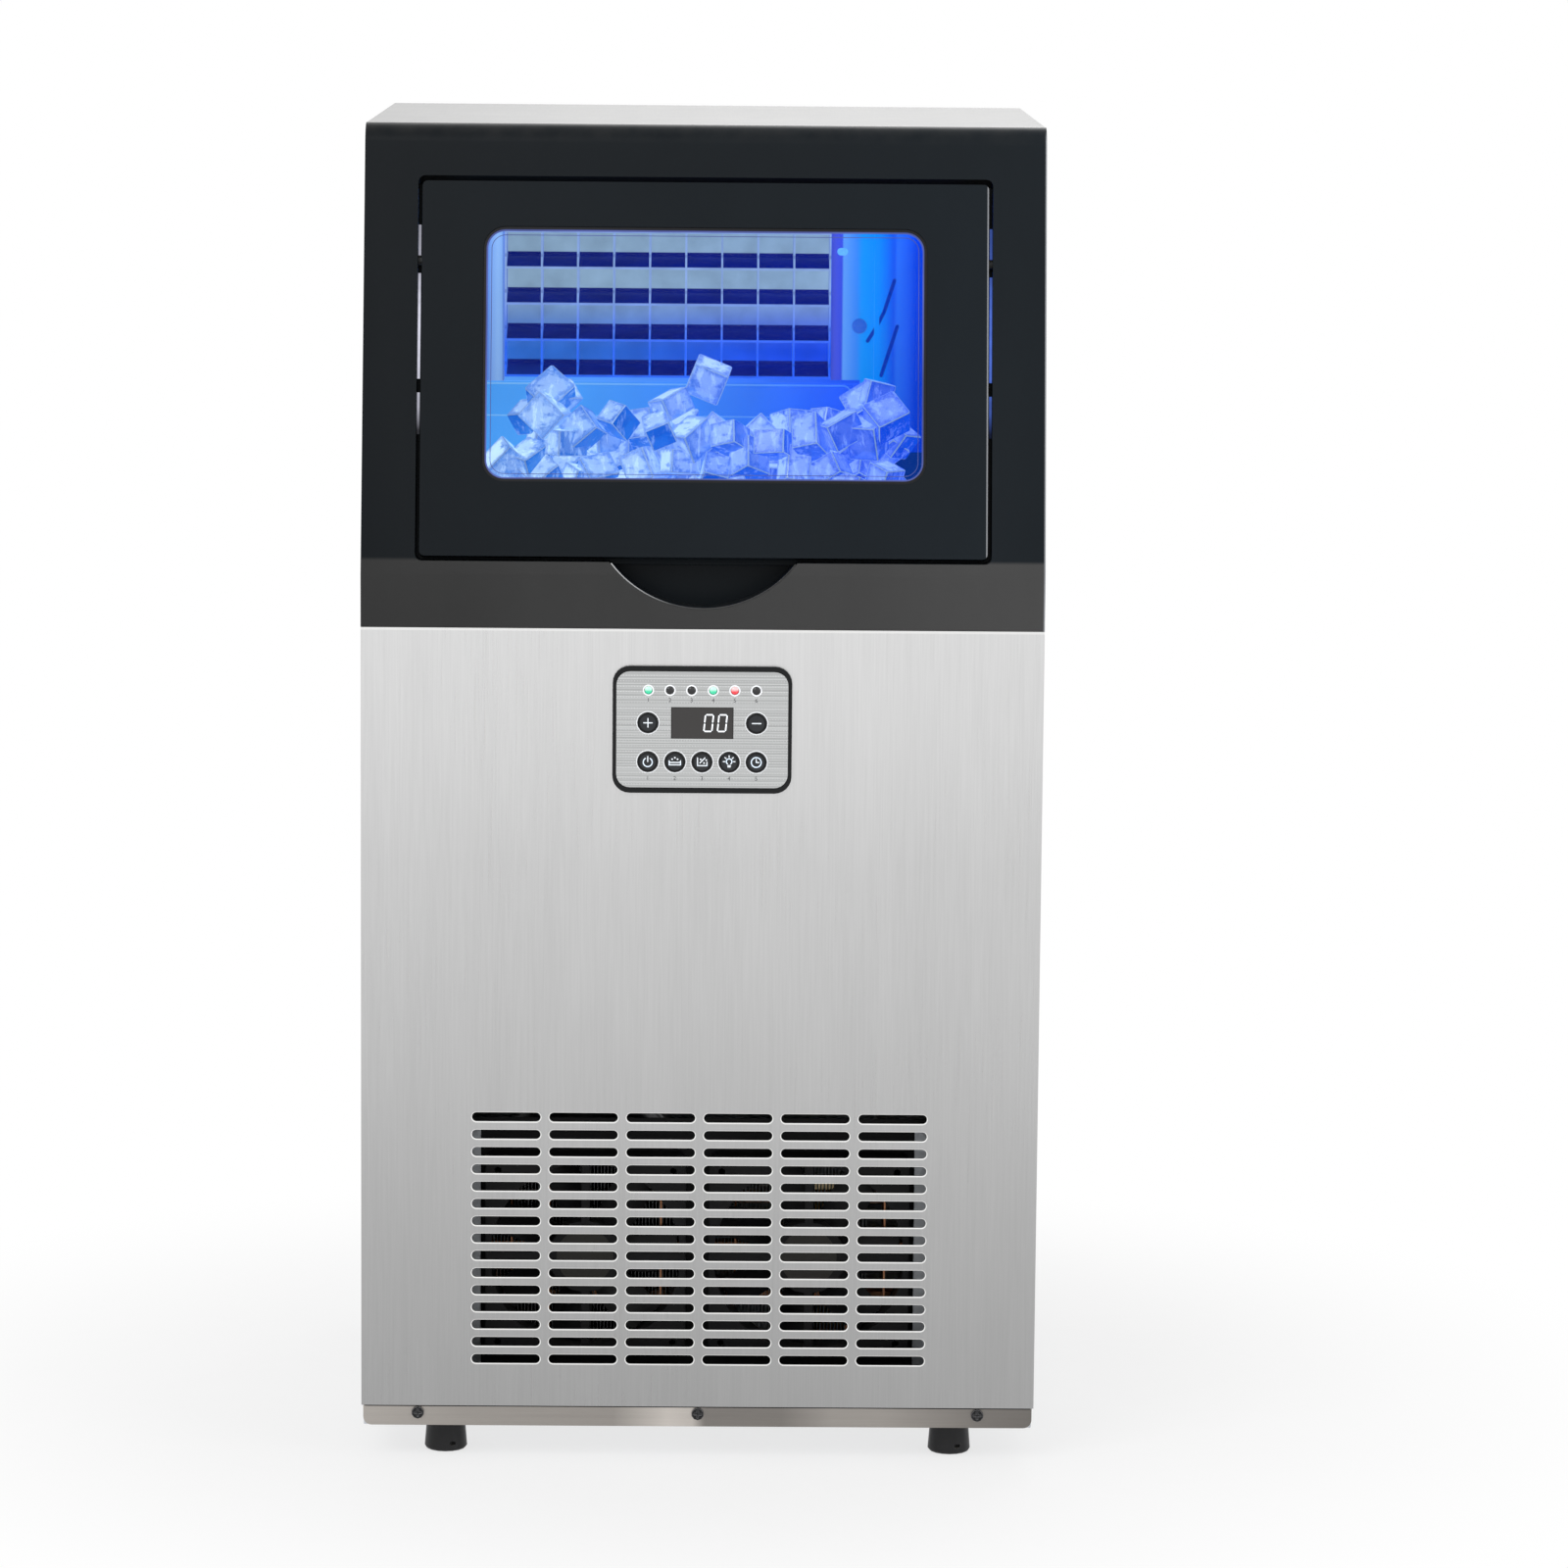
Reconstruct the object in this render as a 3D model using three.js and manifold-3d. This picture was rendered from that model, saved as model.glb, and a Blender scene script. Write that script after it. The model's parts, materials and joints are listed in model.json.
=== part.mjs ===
// Undercounter ice maker, in millimetres, +Z up, front towards -Y.
// The origin is on the floor, under the centre of the machine.
import * as THREE from 'three';
import { mergeVertices } from 'three/addons/utils/BufferGeometryUtils.js';
import Module from 'manifold-3d';

const wasm = await Module();
wasm.setup();

// Cabinet
const width = 400;
const depth = 385;
const height = 790;
const headHeight = 291;
const sheet = 1;
const gap = 0.3;
const overrun = 5;

// Levelling feet
const footHeight = 20.5;
const footRadius = 12.75;
const footTopRadius = 11.2;
const footChamfer = 1.5;
const studRadius = 4;
const studLength = 14;
const footInsetSide = 49;
const footInsetFront = 30;
const footInsetBack = 45;

// Base strip and its screws
const stripHeight = 12;
const stripInset = 1;
const stripThickness = 1.2;
const stripCorner = 5;
const stripScrewInset = 33.5;
const stripScrewDrop = 4.1;
const screwHeadRadius = 3.75;
const screwHeadHeight = 1.6;
const screwShankRadius = 1.9;
const screwShankLength = 7;

// Base pan and deck
const panThickness = 1.2;
const panFlange = 22;
const deckThickness = 1.2;
const deckFlange = 15;
const deckFlangeSetback = 24;

// Steel panels
const frontReturn = 12;
const bottomReturn = 10;
const topReturn = 20;
const sideFlange = 10;
const rearFlange = 14;
const lidSkirt = 12;
const lidFold = 8;

// Air slots in the front panel
const slotColumns = 6;
const slotRows = 15;
const slotLength = 40.6;
const slotHeight = 5.5;
const slotColumnPitch = 45.7;
const slotRowPitch = 10.45;
const slotLowest = 61.8;

// Louvres and fitting recess in the rear panel
const louvreColumns = 3;
const louvreRows = 9;
const louvreLength = 84;
const louvreHeight = 6;
const louvreColumnPitch = 104;
const louvreRowPitch = 18;
const louvreLowest = 190;
const recessWidth = 210;
const recessHeight = 74;
const recessDepth = 34;
const recessLevel = 56;

// Fascia
const fasciaWall = 3;
const fasciaDepth = 67.7;
const fasciaTopDepth = 12;
const bandHeight = 31;
const fasciaCorner = 14;
const fasciaLand = 1;
const openingSide = 31.5;
const openingRise = 39;
const openingDrop = 30;
const openingCorner = 4;
const scoopChord = 110;
const scoopDrop = 27.4;
const scoopDepth = 24;

// Door
const doorSideGap = 2.5;
const doorEndGap = 3;
const doorThickness = 10;
const doorSkin = 3;
const doorRim = 3;
const doorCorner = 3;
const windowSide = 38.5;
const windowRise = 46;
const windowDrop = 29;
const windowCorner = 13;
const paneThickness = 3;
const paneRim = 4;
const hingeDrop = 45;
const hingeSetback = 8;
const hingeBoss = 6;
const hingeBossLength = 12;
const pinRadius = 3;
const pinReach = 9;

// Control panel
const bezelWidth = 105;
const bezelHeight = 75;
const bezelDrop = 59;
const bezelCorner = 10;
const bezelProud = 1.8;
const bezelLip = 1.8;
const bezelSleeve = 16;
const bezelWall = 2;
const bezelRimSide = 2.2;
const bezelRimEnd = 3.2;
const plateCorner = 8;
const plateThickness = 0.8;
const buttonRadius = 6;
const buttonFlange = 0.8;
const buttonFlangeThickness = 1.2;
const buttonProud = 1;
const buttonTravel = 0.8;
const buttonPitch = 15.9;
const buttonRowDrop = 19;
const buttonTopRise = 4;
const lampCount = 6;
const lampRadius = 2.2;
const lampPitch = 12.65;
const lampRise = 23.2;
const lampProud = 0.5;
const displayWidth = 36;
const displayHeight = 18;
const displayThickness = 1.6;
const boardThickness = 1.6;
const displayModule = 6;

// Fans
const fanSize = 120;
const fanThickness = 25;
const fanCorner = 6;
const fanRim = 2.5;
const fanSetback = 40;
const fanRise = 33;
const fanSpacing = 14;
const fanOffset = -1;
const fanScrewInset = 7.5;
const fanScrewRadius = 2.2;
const hubRadius = 22;
const hubLength = 17;
const motorBase = 4;
const strutWidth = 5;
const axleRadius = 2.5;
const bladeCount = 7;
const bladeClearance = 2.5;
const bladeChord = 27;
const bladeThickness = 1.8;
const bladeCamber = 3;
const bladePitchDegrees = 38;

// Fan plate and condenser
const fanPlateSide = 26;
const fanPlateTop = 20;
const fanPlateFlange = 14;
const condenserSide = 8;
const condenserHeight = 150;
const condenserDepth = 44;
const condenserFins = 11;
const finThickness = 1;
const endPlateThickness = 1.5;
const condenserTube = 4;
const condenserStub = 8;
const condenserRows = 4;

// Bin, shaped inside by its wall
const binRearSpace = 33.3;
const binWall = 20;
const binLip = 3;
const drainBossRadius = 7;
const drainBore = 4.5;
const drainBossLength = 15;
const drainOffset = 120;
const drainInset = 51.7;
const lightSide = 28.7;
const lightWidth = 12;
const lightThickness = 6;
const lightSetback = 102;

// Freezing tray, its frame and its water parts
const trayColumns = 9;
const trayRows = 5;
const cellPitch = 22;
const trayDepth = 22;
const trayWall = 1.2;
const trayFloorRise = 6.5;
const traySetback = 190;
const trayHeadroom = 19.5;
const framePost = 11;
const frameProud = 6;
const frameDepth = 52;
const frameSkin = 2.7;
const frameBar = 16;
const frameWing = 6;
const frameCoverDrop = 44;
const coverRib = 3;
const coverRibPitch = 26;
const coilRadius = 4;
const coilLead = 12;
const troughHeight = 30;
const troughWall = 2;
const troughReach = 74;
const troughDepth = 49;
const flapHeight = 40;
const flapThickness = 2.4;
const flapWidth = 224;
const flapCorner = 6;
const flapRidge = 17;
const flapBarrel = 3.5;
const flapPin = 2;
const flapPinReach = 8;
const flapLug = 4;
const pumpRadius = 15;
const pumpHeight = 84;
const pumpNeck = 9;
const pumpInset = 34;
const spreaderRadius = 5;

// Refrigeration
const compressorRadius = 62;
const compressorHeight = 150;
const compressorInset = 126.7;
const compressorFootLength = 152;
const compressorFootWidth = 96;
const compressorFootThickness = 2.5;
const grommetRadius = 9;
const grommetHeight = 12;
const terminalWidth = 44;
const terminalDepth = 22;
const terminalHeight = 52;
const lineRadius = 4;
const lineInset = 19;
const lineStub = 10;
const drierRadius = 10;
const drierLength = 84;
const drierInset = 28.7;
const valveOffset = 74;
const valveSetback = 170;
const valveWidth = 34;
const valveDepth = 26;
const valveCoilHeight = 36;
const valveBodyHeight = 24;
const valveStand = 62;
const bracketThickness = 2;

// Rear fittings
const fittingPitch = 70;
const fittingFlange = 4;
const fittingThickness = 3;
const inletRadius = 10;
const inletBore = 7;
const inletReach = 24;
const inletBodyLength = 42;
const glandRadius = 8;
const glandBore = 4;
const glandReach = 20;
const spigotRadius = 8;
const spigotBore = 5;
const spigotReach = 28;
const barbRadius = 6;
const barbLength = 16;
const hoseRadius = 8;
const holeMargin = 4;

// Shares of a piece's own size
const recessReachShare = 0.62;
const trayPlaceShare = 0.59;
const compressorPlaceShare = 0.54;
const compressorShares = [
  [0, 0], [0.86, 0], [0.97, 0.1], [1, 0.3], [1, 0.62], [0.9, 0.84], [0.6, 0.96], [0, 1],
];
const bladeCamberShares = [[-0.5, 0], [-0.17, 0.9], [0.17, 0.9], [0.5, 0]];

const halfWidth = width / 2;
const proudest = bezelProud + Math.max(0, buttonProud - gap);
const frontY = (proudest - depth) / 2;
const backY = frontY + depth;
const jointLevel = height - headHeight;
const bandTop = jointLevel + bandHeight;
const lean = Math.atan2(fasciaDepth - fasciaTopDepth, height - bandTop);
const openingWidth = width - 2 * openingSide;
const openingBottom = jointLevel + openingRise;
const openingTop = height - openingDrop;
const panUnder = footHeight + gap;
const panFloor = panUnder + panThickness;
const stripTop = panUnder + stripHeight;
const panelBottom = stripTop + gap;
const innerHalfWidth = halfWidth - sheet - gap;
const innerBack = backY - 2 * (sheet + gap);
const deckTop = jointLevel - sheet - gap;
const deckUnder = deckTop - deckThickness;
const fasciaBack = frontY + fasciaDepth;
const binFront = fasciaBack + gap;
const sideFront = frontY + frontReturn + gap;

// Solids
const cornerSteps = 2;
const arcSteps = 3;
const slotEndSteps = 3;
const windowSteps = 4;
const scoopSteps = 8;
const largeSides = 24;
const roundSides = 16;
const smallSides = 10;
const hoseSides = 8;
const tubeSides = 6;
const coilSteps = 64;
const suctionSteps = 30;
const spreaderSteps = 26;
const dischargeSteps = 24;
const drainSteps = 20;
const drierSteps = 16;

// A closed solid from a geometry: shared corners merged, and triangles without area left out
function solidOf(geometry) {
  const bare = new THREE.BufferGeometry();
  bare.setAttribute('position', geometry.getAttribute('position'));
  bare.setIndex(geometry.getIndex());
  const merged = mergeVertices(bare);
  const vertProperties = Float32Array.from(merged.getAttribute('position').array);
  const index = merged.getIndex().array;
  const whole = [];
  for (let i = 0; i < index.length; i += 3) {
    const [a, b, c] = index.slice(i, i + 3);
    if (a !== b && b !== c && c !== a) whole.push(a, b, c);
  }
  const triVerts = Uint32Array.from(whole);
  return new wasm.Manifold(new wasm.Mesh({ numProp: 3, vertProperties, triVerts }));
}

function geometryOf(solid) {
  const mesh = solid.getMesh();
  const geometry = new THREE.BufferGeometry();
  const points = new Float32Array((mesh.vertProperties.length / mesh.numProp) * 3);
  for (let i = 0; i < points.length / 3; i += 1) {
    points.set(mesh.vertProperties.subarray(i * mesh.numProp, i * mesh.numProp + 3), i * 3);
  }
  geometry.setAttribute('position', new THREE.BufferAttribute(points, 3));
  geometry.setIndex(new THREE.BufferAttribute(Uint32Array.from(mesh.triVerts), 1));
  geometry.computeVertexNormals();
  return geometry;
}

function join(...solids) {
  return solids.reduce((whole, next) => whole.add(next));
}

function cut(base, ...tools) {
  return tools.reduce((rest, tool) => rest.subtract(tool), base);
}

function block(x0, x1, y0, y1, z0, z1) {
  const geometry = new THREE.BoxGeometry(x1 - x0, y1 - y0, z1 - z0);
  geometry.translate((x0 + x1) / 2, (y0 + y1) / 2, (z0 + z1) / 2);
  return solidOf(geometry);
}

// A shape drawn in X and Z, from y0 back to y1
function frontSlab(shape, y0, y1, steps = arcSteps) {
  const geometry = new THREE.ExtrudeGeometry(shape, {
    depth: y1 - y0,
    bevelEnabled: false,
    curveSegments: steps,
  });
  geometry.rotateX(Math.PI / 2);
  geometry.translate(0, y1, 0);
  return solidOf(geometry);
}

// A shape drawn in Y and Z, from x0 to x1
function sideSlab(shape, x0, x1, steps = arcSteps) {
  const geometry = new THREE.ExtrudeGeometry(shape, {
    depth: x1 - x0,
    bevelEnabled: false,
    curveSegments: steps,
  });
  const turn = new THREE.Matrix4().makeBasis(
    new THREE.Vector3(0, 1, 0),
    new THREE.Vector3(0, 0, 1),
    new THREE.Vector3(1, 0, 0),
  );
  geometry.applyMatrix4(turn);
  geometry.translate(x0, 0, 0);
  return solidOf(geometry);
}

// A round bar along one axis; a and b place it on the other two, in X, Y, Z order
function bar(axis, radius, from, to, a, b, sides = roundSides) {
  const geometry = new THREE.CylinderGeometry(radius, radius, to - from, sides);
  const middle = (from + to) / 2;
  if (axis === 'x') {
    geometry.rotateZ(Math.PI / 2);
    geometry.translate(middle, a, b);
  } else if (axis === 'y') {
    geometry.translate(a, middle, b);
  } else {
    geometry.rotateX(Math.PI / 2);
    geometry.translate(a, b, middle);
  }
  return solidOf(geometry);
}

// A profile of [radius, height] pairs turned about the Z axis, standing at x, y
function turned(profile, x = 0, y = 0, sides = roundSides) {
  const points = profile.map(([radius, level]) => new THREE.Vector2(radius, level));
  const geometry = new THREE.LatheGeometry(points, sides);
  geometry.rotateX(Math.PI / 2);
  geometry.translate(x, y, 0);
  return solidOf(geometry);
}

// A tube along a smooth line through the points
function pipe(points, radius, sides, steps) {
  const knots = points.map(([x, y, z]) => new THREE.Vector3(x, y, z));
  const path = new THREE.CatmullRomCurve3(knots, false, 'centripetal');
  const ring = new THREE.Shape();
  for (let i = 0; i < sides; i += 1) {
    const angle = (2 * Math.PI * i) / sides;
    const corner = [radius * Math.cos(angle), radius * Math.sin(angle)];
    if (i === 0) ring.moveTo(...corner);
    else ring.lineTo(...corner);
  }
  return solidOf(new THREE.ExtrudeGeometry(ring, { steps, bevelEnabled: false, extrudePath: path }));
}

function outline(points) {
  return new THREE.Shape(points.map(([a, b]) => new THREE.Vector2(a, b)));
}

function roundedOutline(a0, a1, b0, b1, radius, kind = THREE.Shape) {
  const shape = new kind();
  const r = Math.min(radius, (a1 - a0) / 2, (b1 - b0) / 2);
  shape.moveTo(a0 + r, b0);
  shape.lineTo(a1 - r, b0);
  shape.absarc(a1 - r, b0 + r, r, -Math.PI / 2, 0, false);
  shape.lineTo(a1, b1 - r);
  shape.absarc(a1 - r, b1 - r, r, 0, Math.PI / 2, false);
  shape.lineTo(a0 + r, b1);
  shape.absarc(a0 + r, b1 - r, r, Math.PI / 2, Math.PI, false);
  shape.lineTo(a0, b0 + r);
  shape.absarc(a0 + r, b0 + r, r, Math.PI, 1.5 * Math.PI, false);
  return shape;
}

// Slots of one pattern: centres of columns and rows round the middle of the width
function slotCentres(columns, rows, columnPitch, rowPitch, lowest) {
  const centres = [];
  for (let column = 0; column < columns; column += 1) {
    for (let row = 0; row < rows; row += 1) {
      centres.push([(column - (columns - 1) / 2) * columnPitch, lowest + row * rowPitch]);
    }
  }
  return centres;
}

// Levelling foot, standing on the floor at its own origin
function levellingFoot() {
  return turned([
    [0, 0],
    [footRadius - footChamfer, 0],
    [footRadius, footChamfer],
    [footTopRadius, footHeight],
    [studRadius, footHeight],
    [studRadius, footHeight + studLength],
    [0, footHeight + studLength],
  ]);
}

function footPlaces() {
  const side = halfWidth - footInsetSide;
  return [
    ['foot_front_left', -side, frontY + footInsetFront],
    ['foot_front_right', side, frontY + footInsetFront],
    ['foot_rear_left', -side, backY - footInsetBack],
    ['foot_rear_right', side, backY - footInsetBack],
  ];
}

// Cross-head screw with its head in front of its origin and its shank behind
function stripScrew() {
  const recess = screwHeadHeight / 2;
  const arm = screwHeadRadius / 4;
  const reach = screwHeadRadius * recessReachShare;
  return cut(
    join(
      bar('y', screwHeadRadius, -screwHeadHeight, 0, 0, 0, smallSides),
      bar('y', screwShankRadius, -screwHeadHeight / 2, screwShankLength, 0, 0, smallSides),
    ),
    block(-reach, reach, -screwHeadHeight - overrun, recess - screwHeadHeight, -arm / 2, arm / 2),
    block(-arm / 2, arm / 2, -screwHeadHeight - overrun, recess - screwHeadHeight, -reach, reach),
  );
}

const stripFace = frontY + stripInset;
const stripScrewSpread = halfWidth - stripScrewInset;
const stripScrewLevel = stripTop - stripScrewDrop;
const panFront = stripFace + stripThickness + gap;

function stripScrewPlaces() {
  return [
    ['strip_screw_left', -stripScrewSpread],
    ['strip_screw_centre', 0],
    ['strip_screw_right', stripScrewSpread],
  ];
}

function stripScrewHoles() {
  const back = panFront + panThickness + overrun;
  return stripScrewPlaces().map(([, x]) => bar(
    'y', screwShankRadius + gap, stripFace - overrun, back, x, stripScrewLevel, smallSides,
  ));
}

function baseStrip() {
  const r = Math.min(stripCorner, stripHeight / 2);
  const half = halfWidth - stripInset;
  const shape = new THREE.Shape();
  shape.moveTo(-half + r, panUnder);
  shape.lineTo(half - r, panUnder);
  shape.absarc(half - r, panUnder + r, r, -Math.PI / 2, 0, false);
  shape.lineTo(half, stripTop);
  shape.lineTo(-half, stripTop);
  shape.lineTo(-half, panUnder + r);
  shape.absarc(-half + r, panUnder + r, r, Math.PI, 1.5 * Math.PI, false);
  return cut(frontSlab(shape, stripFace, stripFace + stripThickness), ...stripScrewHoles());
}

// Folded base pan: a floor with four upright flanges, the front one low behind the strip
function basePan() {
  const half = innerHalfWidth;
  const top = panUnder + panFlange;
  const notchBack = frontY + frontReturn + gap;
  const t = panThickness;
  const studHoles = footPlaces().map(([, x, y]) => bar(
    'z', studRadius + gap, panUnder - overrun, panFloor + overrun, x, y, smallSides,
  ));
  return cut(
    block(-half, half, panFront, innerBack, panUnder, top),
    block(-half + t, half - t, panFront + t, innerBack - t, panFloor, top + overrun),
    block(-halfWidth, halfWidth, panFront - overrun, notchBack, stripTop, top + overrun),
    ...studHoles,
    ...stripScrewHoles(),
  );
}

// Front panel: slotted steel sheet with a return along each edge
function frontPanel() {
  const shape = outline([
    [-halfWidth, panelBottom],
    [halfWidth, panelBottom],
    [halfWidth, jointLevel],
    [-halfWidth, jointLevel],
  ]);
  slotCentres(slotColumns, slotRows, slotColumnPitch, slotRowPitch, slotLowest).forEach(([x, z]) => {
    const r = slotHeight / 2;
    const points = [];
    for (const side of [1, -1]) {
      for (let step = 0; step <= slotEndSteps; step += 1) {
        const angle = Math.PI * (step / slotEndSteps - 0.5);
        points.push(new THREE.Vector2(
          x + side * (slotLength / 2 - r + r * Math.cos(angle)),
          z + side * r * Math.sin(angle),
        ));
      }
    }
    shape.holes.push(new THREE.Path(points));
  });
  const sleeveX = bezelWidth / 2 - bezelLip + gap;
  const sleeveZ = bezelHeight / 2 - bezelLip + gap;
  const corner = bezelCorner - bezelLip + gap;
  shape.holes.push(roundedOutline(
    -sleeveX, sleeveX, bezelLevel - sleeveZ, bezelLevel + sleeveZ, corner, THREE.Path,
  ));
  const edge = halfWidth - sheet;
  const back = frontY + frontReturn;
  return join(
    frontSlab(shape, frontY, frontY + sheet, cornerSteps),
    block(-halfWidth, -edge, frontY, back, panelBottom, jointLevel),
    block(edge, halfWidth, frontY, back, panelBottom, jointLevel),
    block(-edge, edge, frontY, frontY + bottomReturn, panelBottom, panelBottom + sheet),
    block(-edge, edge, frontY, frontY + topReturn, jointLevel - sheet, jointLevel),
  );
}

// Side panel on the +X side; the left one is its mirror image
function sidePanel(side) {
  const top = height - lidSkirt - gap;
  const shape = outline([
    [sideFront, panelBottom],
    [backY, panelBottom],
    [backY, top],
    [fasciaBack + gap, top],
    [fasciaBack + gap, jointLevel],
    [sideFront, jointLevel],
  ]);
  const edge = halfWidth - sheet;
  const flangeBack = backY - sheet - gap;
  const flangeTop = deckUnder - gap;
  const flangeBottom = panUnder + panFlange + gap;
  const between = (a, b) => [Math.min(side * a, side * b), Math.max(side * a, side * b)];
  const rear = between(halfWidth - rearFlange, halfWidth);
  const front = between(halfWidth - sideFlange, halfWidth);
  return join(
    sideSlab(shape, ...between(edge, halfWidth)),
    block(...rear, flangeBack - sheet, flangeBack, panelBottom, top),
    block(...front, sideFront, sideFront + sheet, flangeBottom, flangeTop),
  );
}

// Rear panel: louvres high up, and a recess at the bottom that the fittings stand in
function rearPanel() {
  const top = height - lidSkirt - gap;
  const a = louvreLength / 2;
  const b = louvreHeight / 2;
  const places = slotCentres(louvreColumns, louvreRows, louvreColumnPitch, louvreRowPitch, louvreLowest);
  const louvres = places.map(([x, z]) => block(
    x - a, x + a, backY - sheet - overrun, backY + overrun, z - b, z + b,
  ));
  const w = recessWidth / 2;
  const floor = backY - recessDepth;
  const z0 = recessLevel;
  const z1 = recessLevel + recessHeight;
  const cup = cut(
    block(-w - sheet, w + sheet, floor - sheet, backY, z0 - sheet, z1 + sheet),
    block(-w, w, floor, backY + overrun, z0, z1),
  );
  const panel = cut(
    block(-innerHalfWidth, innerHalfWidth, backY - sheet, backY, panelBottom, top),
    block(-w, w, floor, backY + overrun, z0, z1),
    ...louvres,
  );
  return cut(join(panel, cup), ...fittingHoles());
}

// Top panel: a lid with a folded front edge and a skirt on the other three sides
function topPanel() {
  const y0 = fasciaBack + gap;
  const edge = halfWidth - sheet;
  const low = height - lidSkirt;
  const past = halfWidth + overrun;
  return cut(
    block(-halfWidth, halfWidth, y0, backY, low, height),
    block(-edge, edge, y0 + sheet, backY - sheet, low - overrun, height - sheet),
    block(-past, past, y0 - overrun, y0 + sheet, low - overrun, height - lidFold),
  );
}

// Deck between the machine room and the bin
function deck() {
  const half = innerHalfWidth;
  const y0 = frontY + sheet + gap;
  const y1 = innerBack;
  const flangeY = frontY + deckFlangeSetback;
  const low = deckTop - deckFlange;
  return cut(
    join(
      block(-half, half, y0, y1, deckUnder, deckTop),
      block(-half, deckThickness - half, flangeY, y1, low, deckTop),
      block(half - deckThickness, half, flangeY, y1, low, deckTop),
      block(-half, half, y1 - deckThickness, y1, low, deckTop),
    ),
    bar('z', hoseRadius + holeMargin, low, deckTop + overrun, drainX, drainY, smallSides),
    bar('z', lineHole, low, deckTop + overrun, suctionX, suctionY, smallSides),
  );
}

// Height of the fascia's face at a depth, and its depth at a height
function fasciaFaceY(z) {
  return frontY + Math.max(0, z - bandTop) * Math.tan(lean);
}

// Radius of the fascia's top edge, limited by the flat land left behind it
function fasciaRound() {
  const turn = Math.tan((Math.PI / 2 - lean) / 2);
  return Math.min(fasciaCorner, (fasciaBack - fasciaLand - fasciaFaceY(height)) / turn);
}

function fasciaOutline() {
  const shape = new THREE.Shape();
  const radius = fasciaRound();
  const tangent = radius * Math.tan((Math.PI / 2 - lean) / 2);
  shape.moveTo(frontY, jointLevel + gap);
  shape.lineTo(frontY, bandTop);
  shape.absarc(fasciaFaceY(height) + tangent, height - radius, radius, Math.PI - lean, Math.PI / 2, true);
  shape.lineTo(fasciaBack, height);
  shape.lineTo(fasciaBack, jointLevel + gap);
  return shape;
}

function fasciaHollow() {
  const across = fasciaWall / Math.cos(lean);
  const low = jointLevel + gap + fasciaWall;
  const top = height - fasciaWall;
  const shoulder = fasciaFaceY(top - fasciaRound()) + across;
  return outline([
    [frontY + fasciaWall, low],
    [frontY + fasciaWall, bandTop],
    [shoulder, top - fasciaRound()],
    [shoulder + fasciaRound(), top],
    [fasciaBack + overrun, top],
    [fasciaBack + overrun, low],
  ]);
}

// Finger scoop: a round-bottomed segment below the door opening
function scoopOutline(growth) {
  const radius = (scoopDrop * scoopDrop + (scoopChord / 2) ** 2) / (2 * scoopDrop);
  const middle = openingBottom - scoopDrop + radius;
  const half = Math.asin(scoopChord / 2 / radius);
  const shape = new THREE.Shape();
  shape.absarc(0, middle, radius + growth, -Math.PI / 2 - half, -Math.PI / 2 + half, false);
  shape.lineTo(scoopChord / 2 + growth, openingBottom + overrun);
  shape.lineTo(-scoopChord / 2 - growth, openingBottom + overrun);
  return shape;
}

// Moulded fascia: skin, collar round the door opening, and the scoop's pocket
function fascia() {
  const front = frontY - overrun;
  const wall = fasciaWall;
  const half = openingWidth / 2;
  const opening = roundedOutline(-half, half, openingBottom, openingTop, openingCorner);
  const collar = roundedOutline(
    -half - wall, half + wall, openingBottom - wall, openingTop + wall, openingCorner + wall,
  );
  const body = sideSlab(fasciaOutline(), -halfWidth, halfWidth);
  const hollow = sideSlab(fasciaHollow(), -halfWidth + wall, halfWidth - wall);
  const lining = frontSlab(collar, front, fasciaBack, cornerSteps).intersect(body);
  const pocketBack = frontY + scoopDepth + wall;
  const pocket = frontSlab(scoopOutline(wall), front, pocketBack, scoopSteps).intersect(body);
  const across = half + wall + overrun;
  return cut(
    join(cut(body, hollow), lining, pocket),
    frontSlab(opening, front, fasciaBack + overrun, cornerSteps),
    frontSlab(scoopOutline(0), front, frontY + scoopDepth, scoopSteps),
    bar('x', pinRadius + gap, -across, across, hingeY, hingeZ, smallSides),
  );
}

// The door's own frame has its origin on the hinge axis, with Z up along the leaning face
const hingeFaceZ = openingTop - doorEndGap - hingeDrop;
const hingeY = fasciaFaceY(hingeFaceZ) + hingeSetback * Math.cos(lean);
const hingeZ = hingeFaceZ - hingeSetback * Math.sin(lean);

function alongDoor(z) {
  return (z - hingeFaceZ) / Math.cos(lean);
}

const doorFace = -hingeSetback;
const doorHalf = openingWidth / 2 - doorSideGap;
const doorLow = alongDoor(openingBottom + doorEndGap);
const doorHigh = alongDoor(openingTop - doorEndGap);
const windowWidth = openingWidth - 2 * windowSide;
const windowLow = alongDoor(openingBottom + windowRise);
const windowHigh = alongDoor(openingTop - windowDrop);

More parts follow.
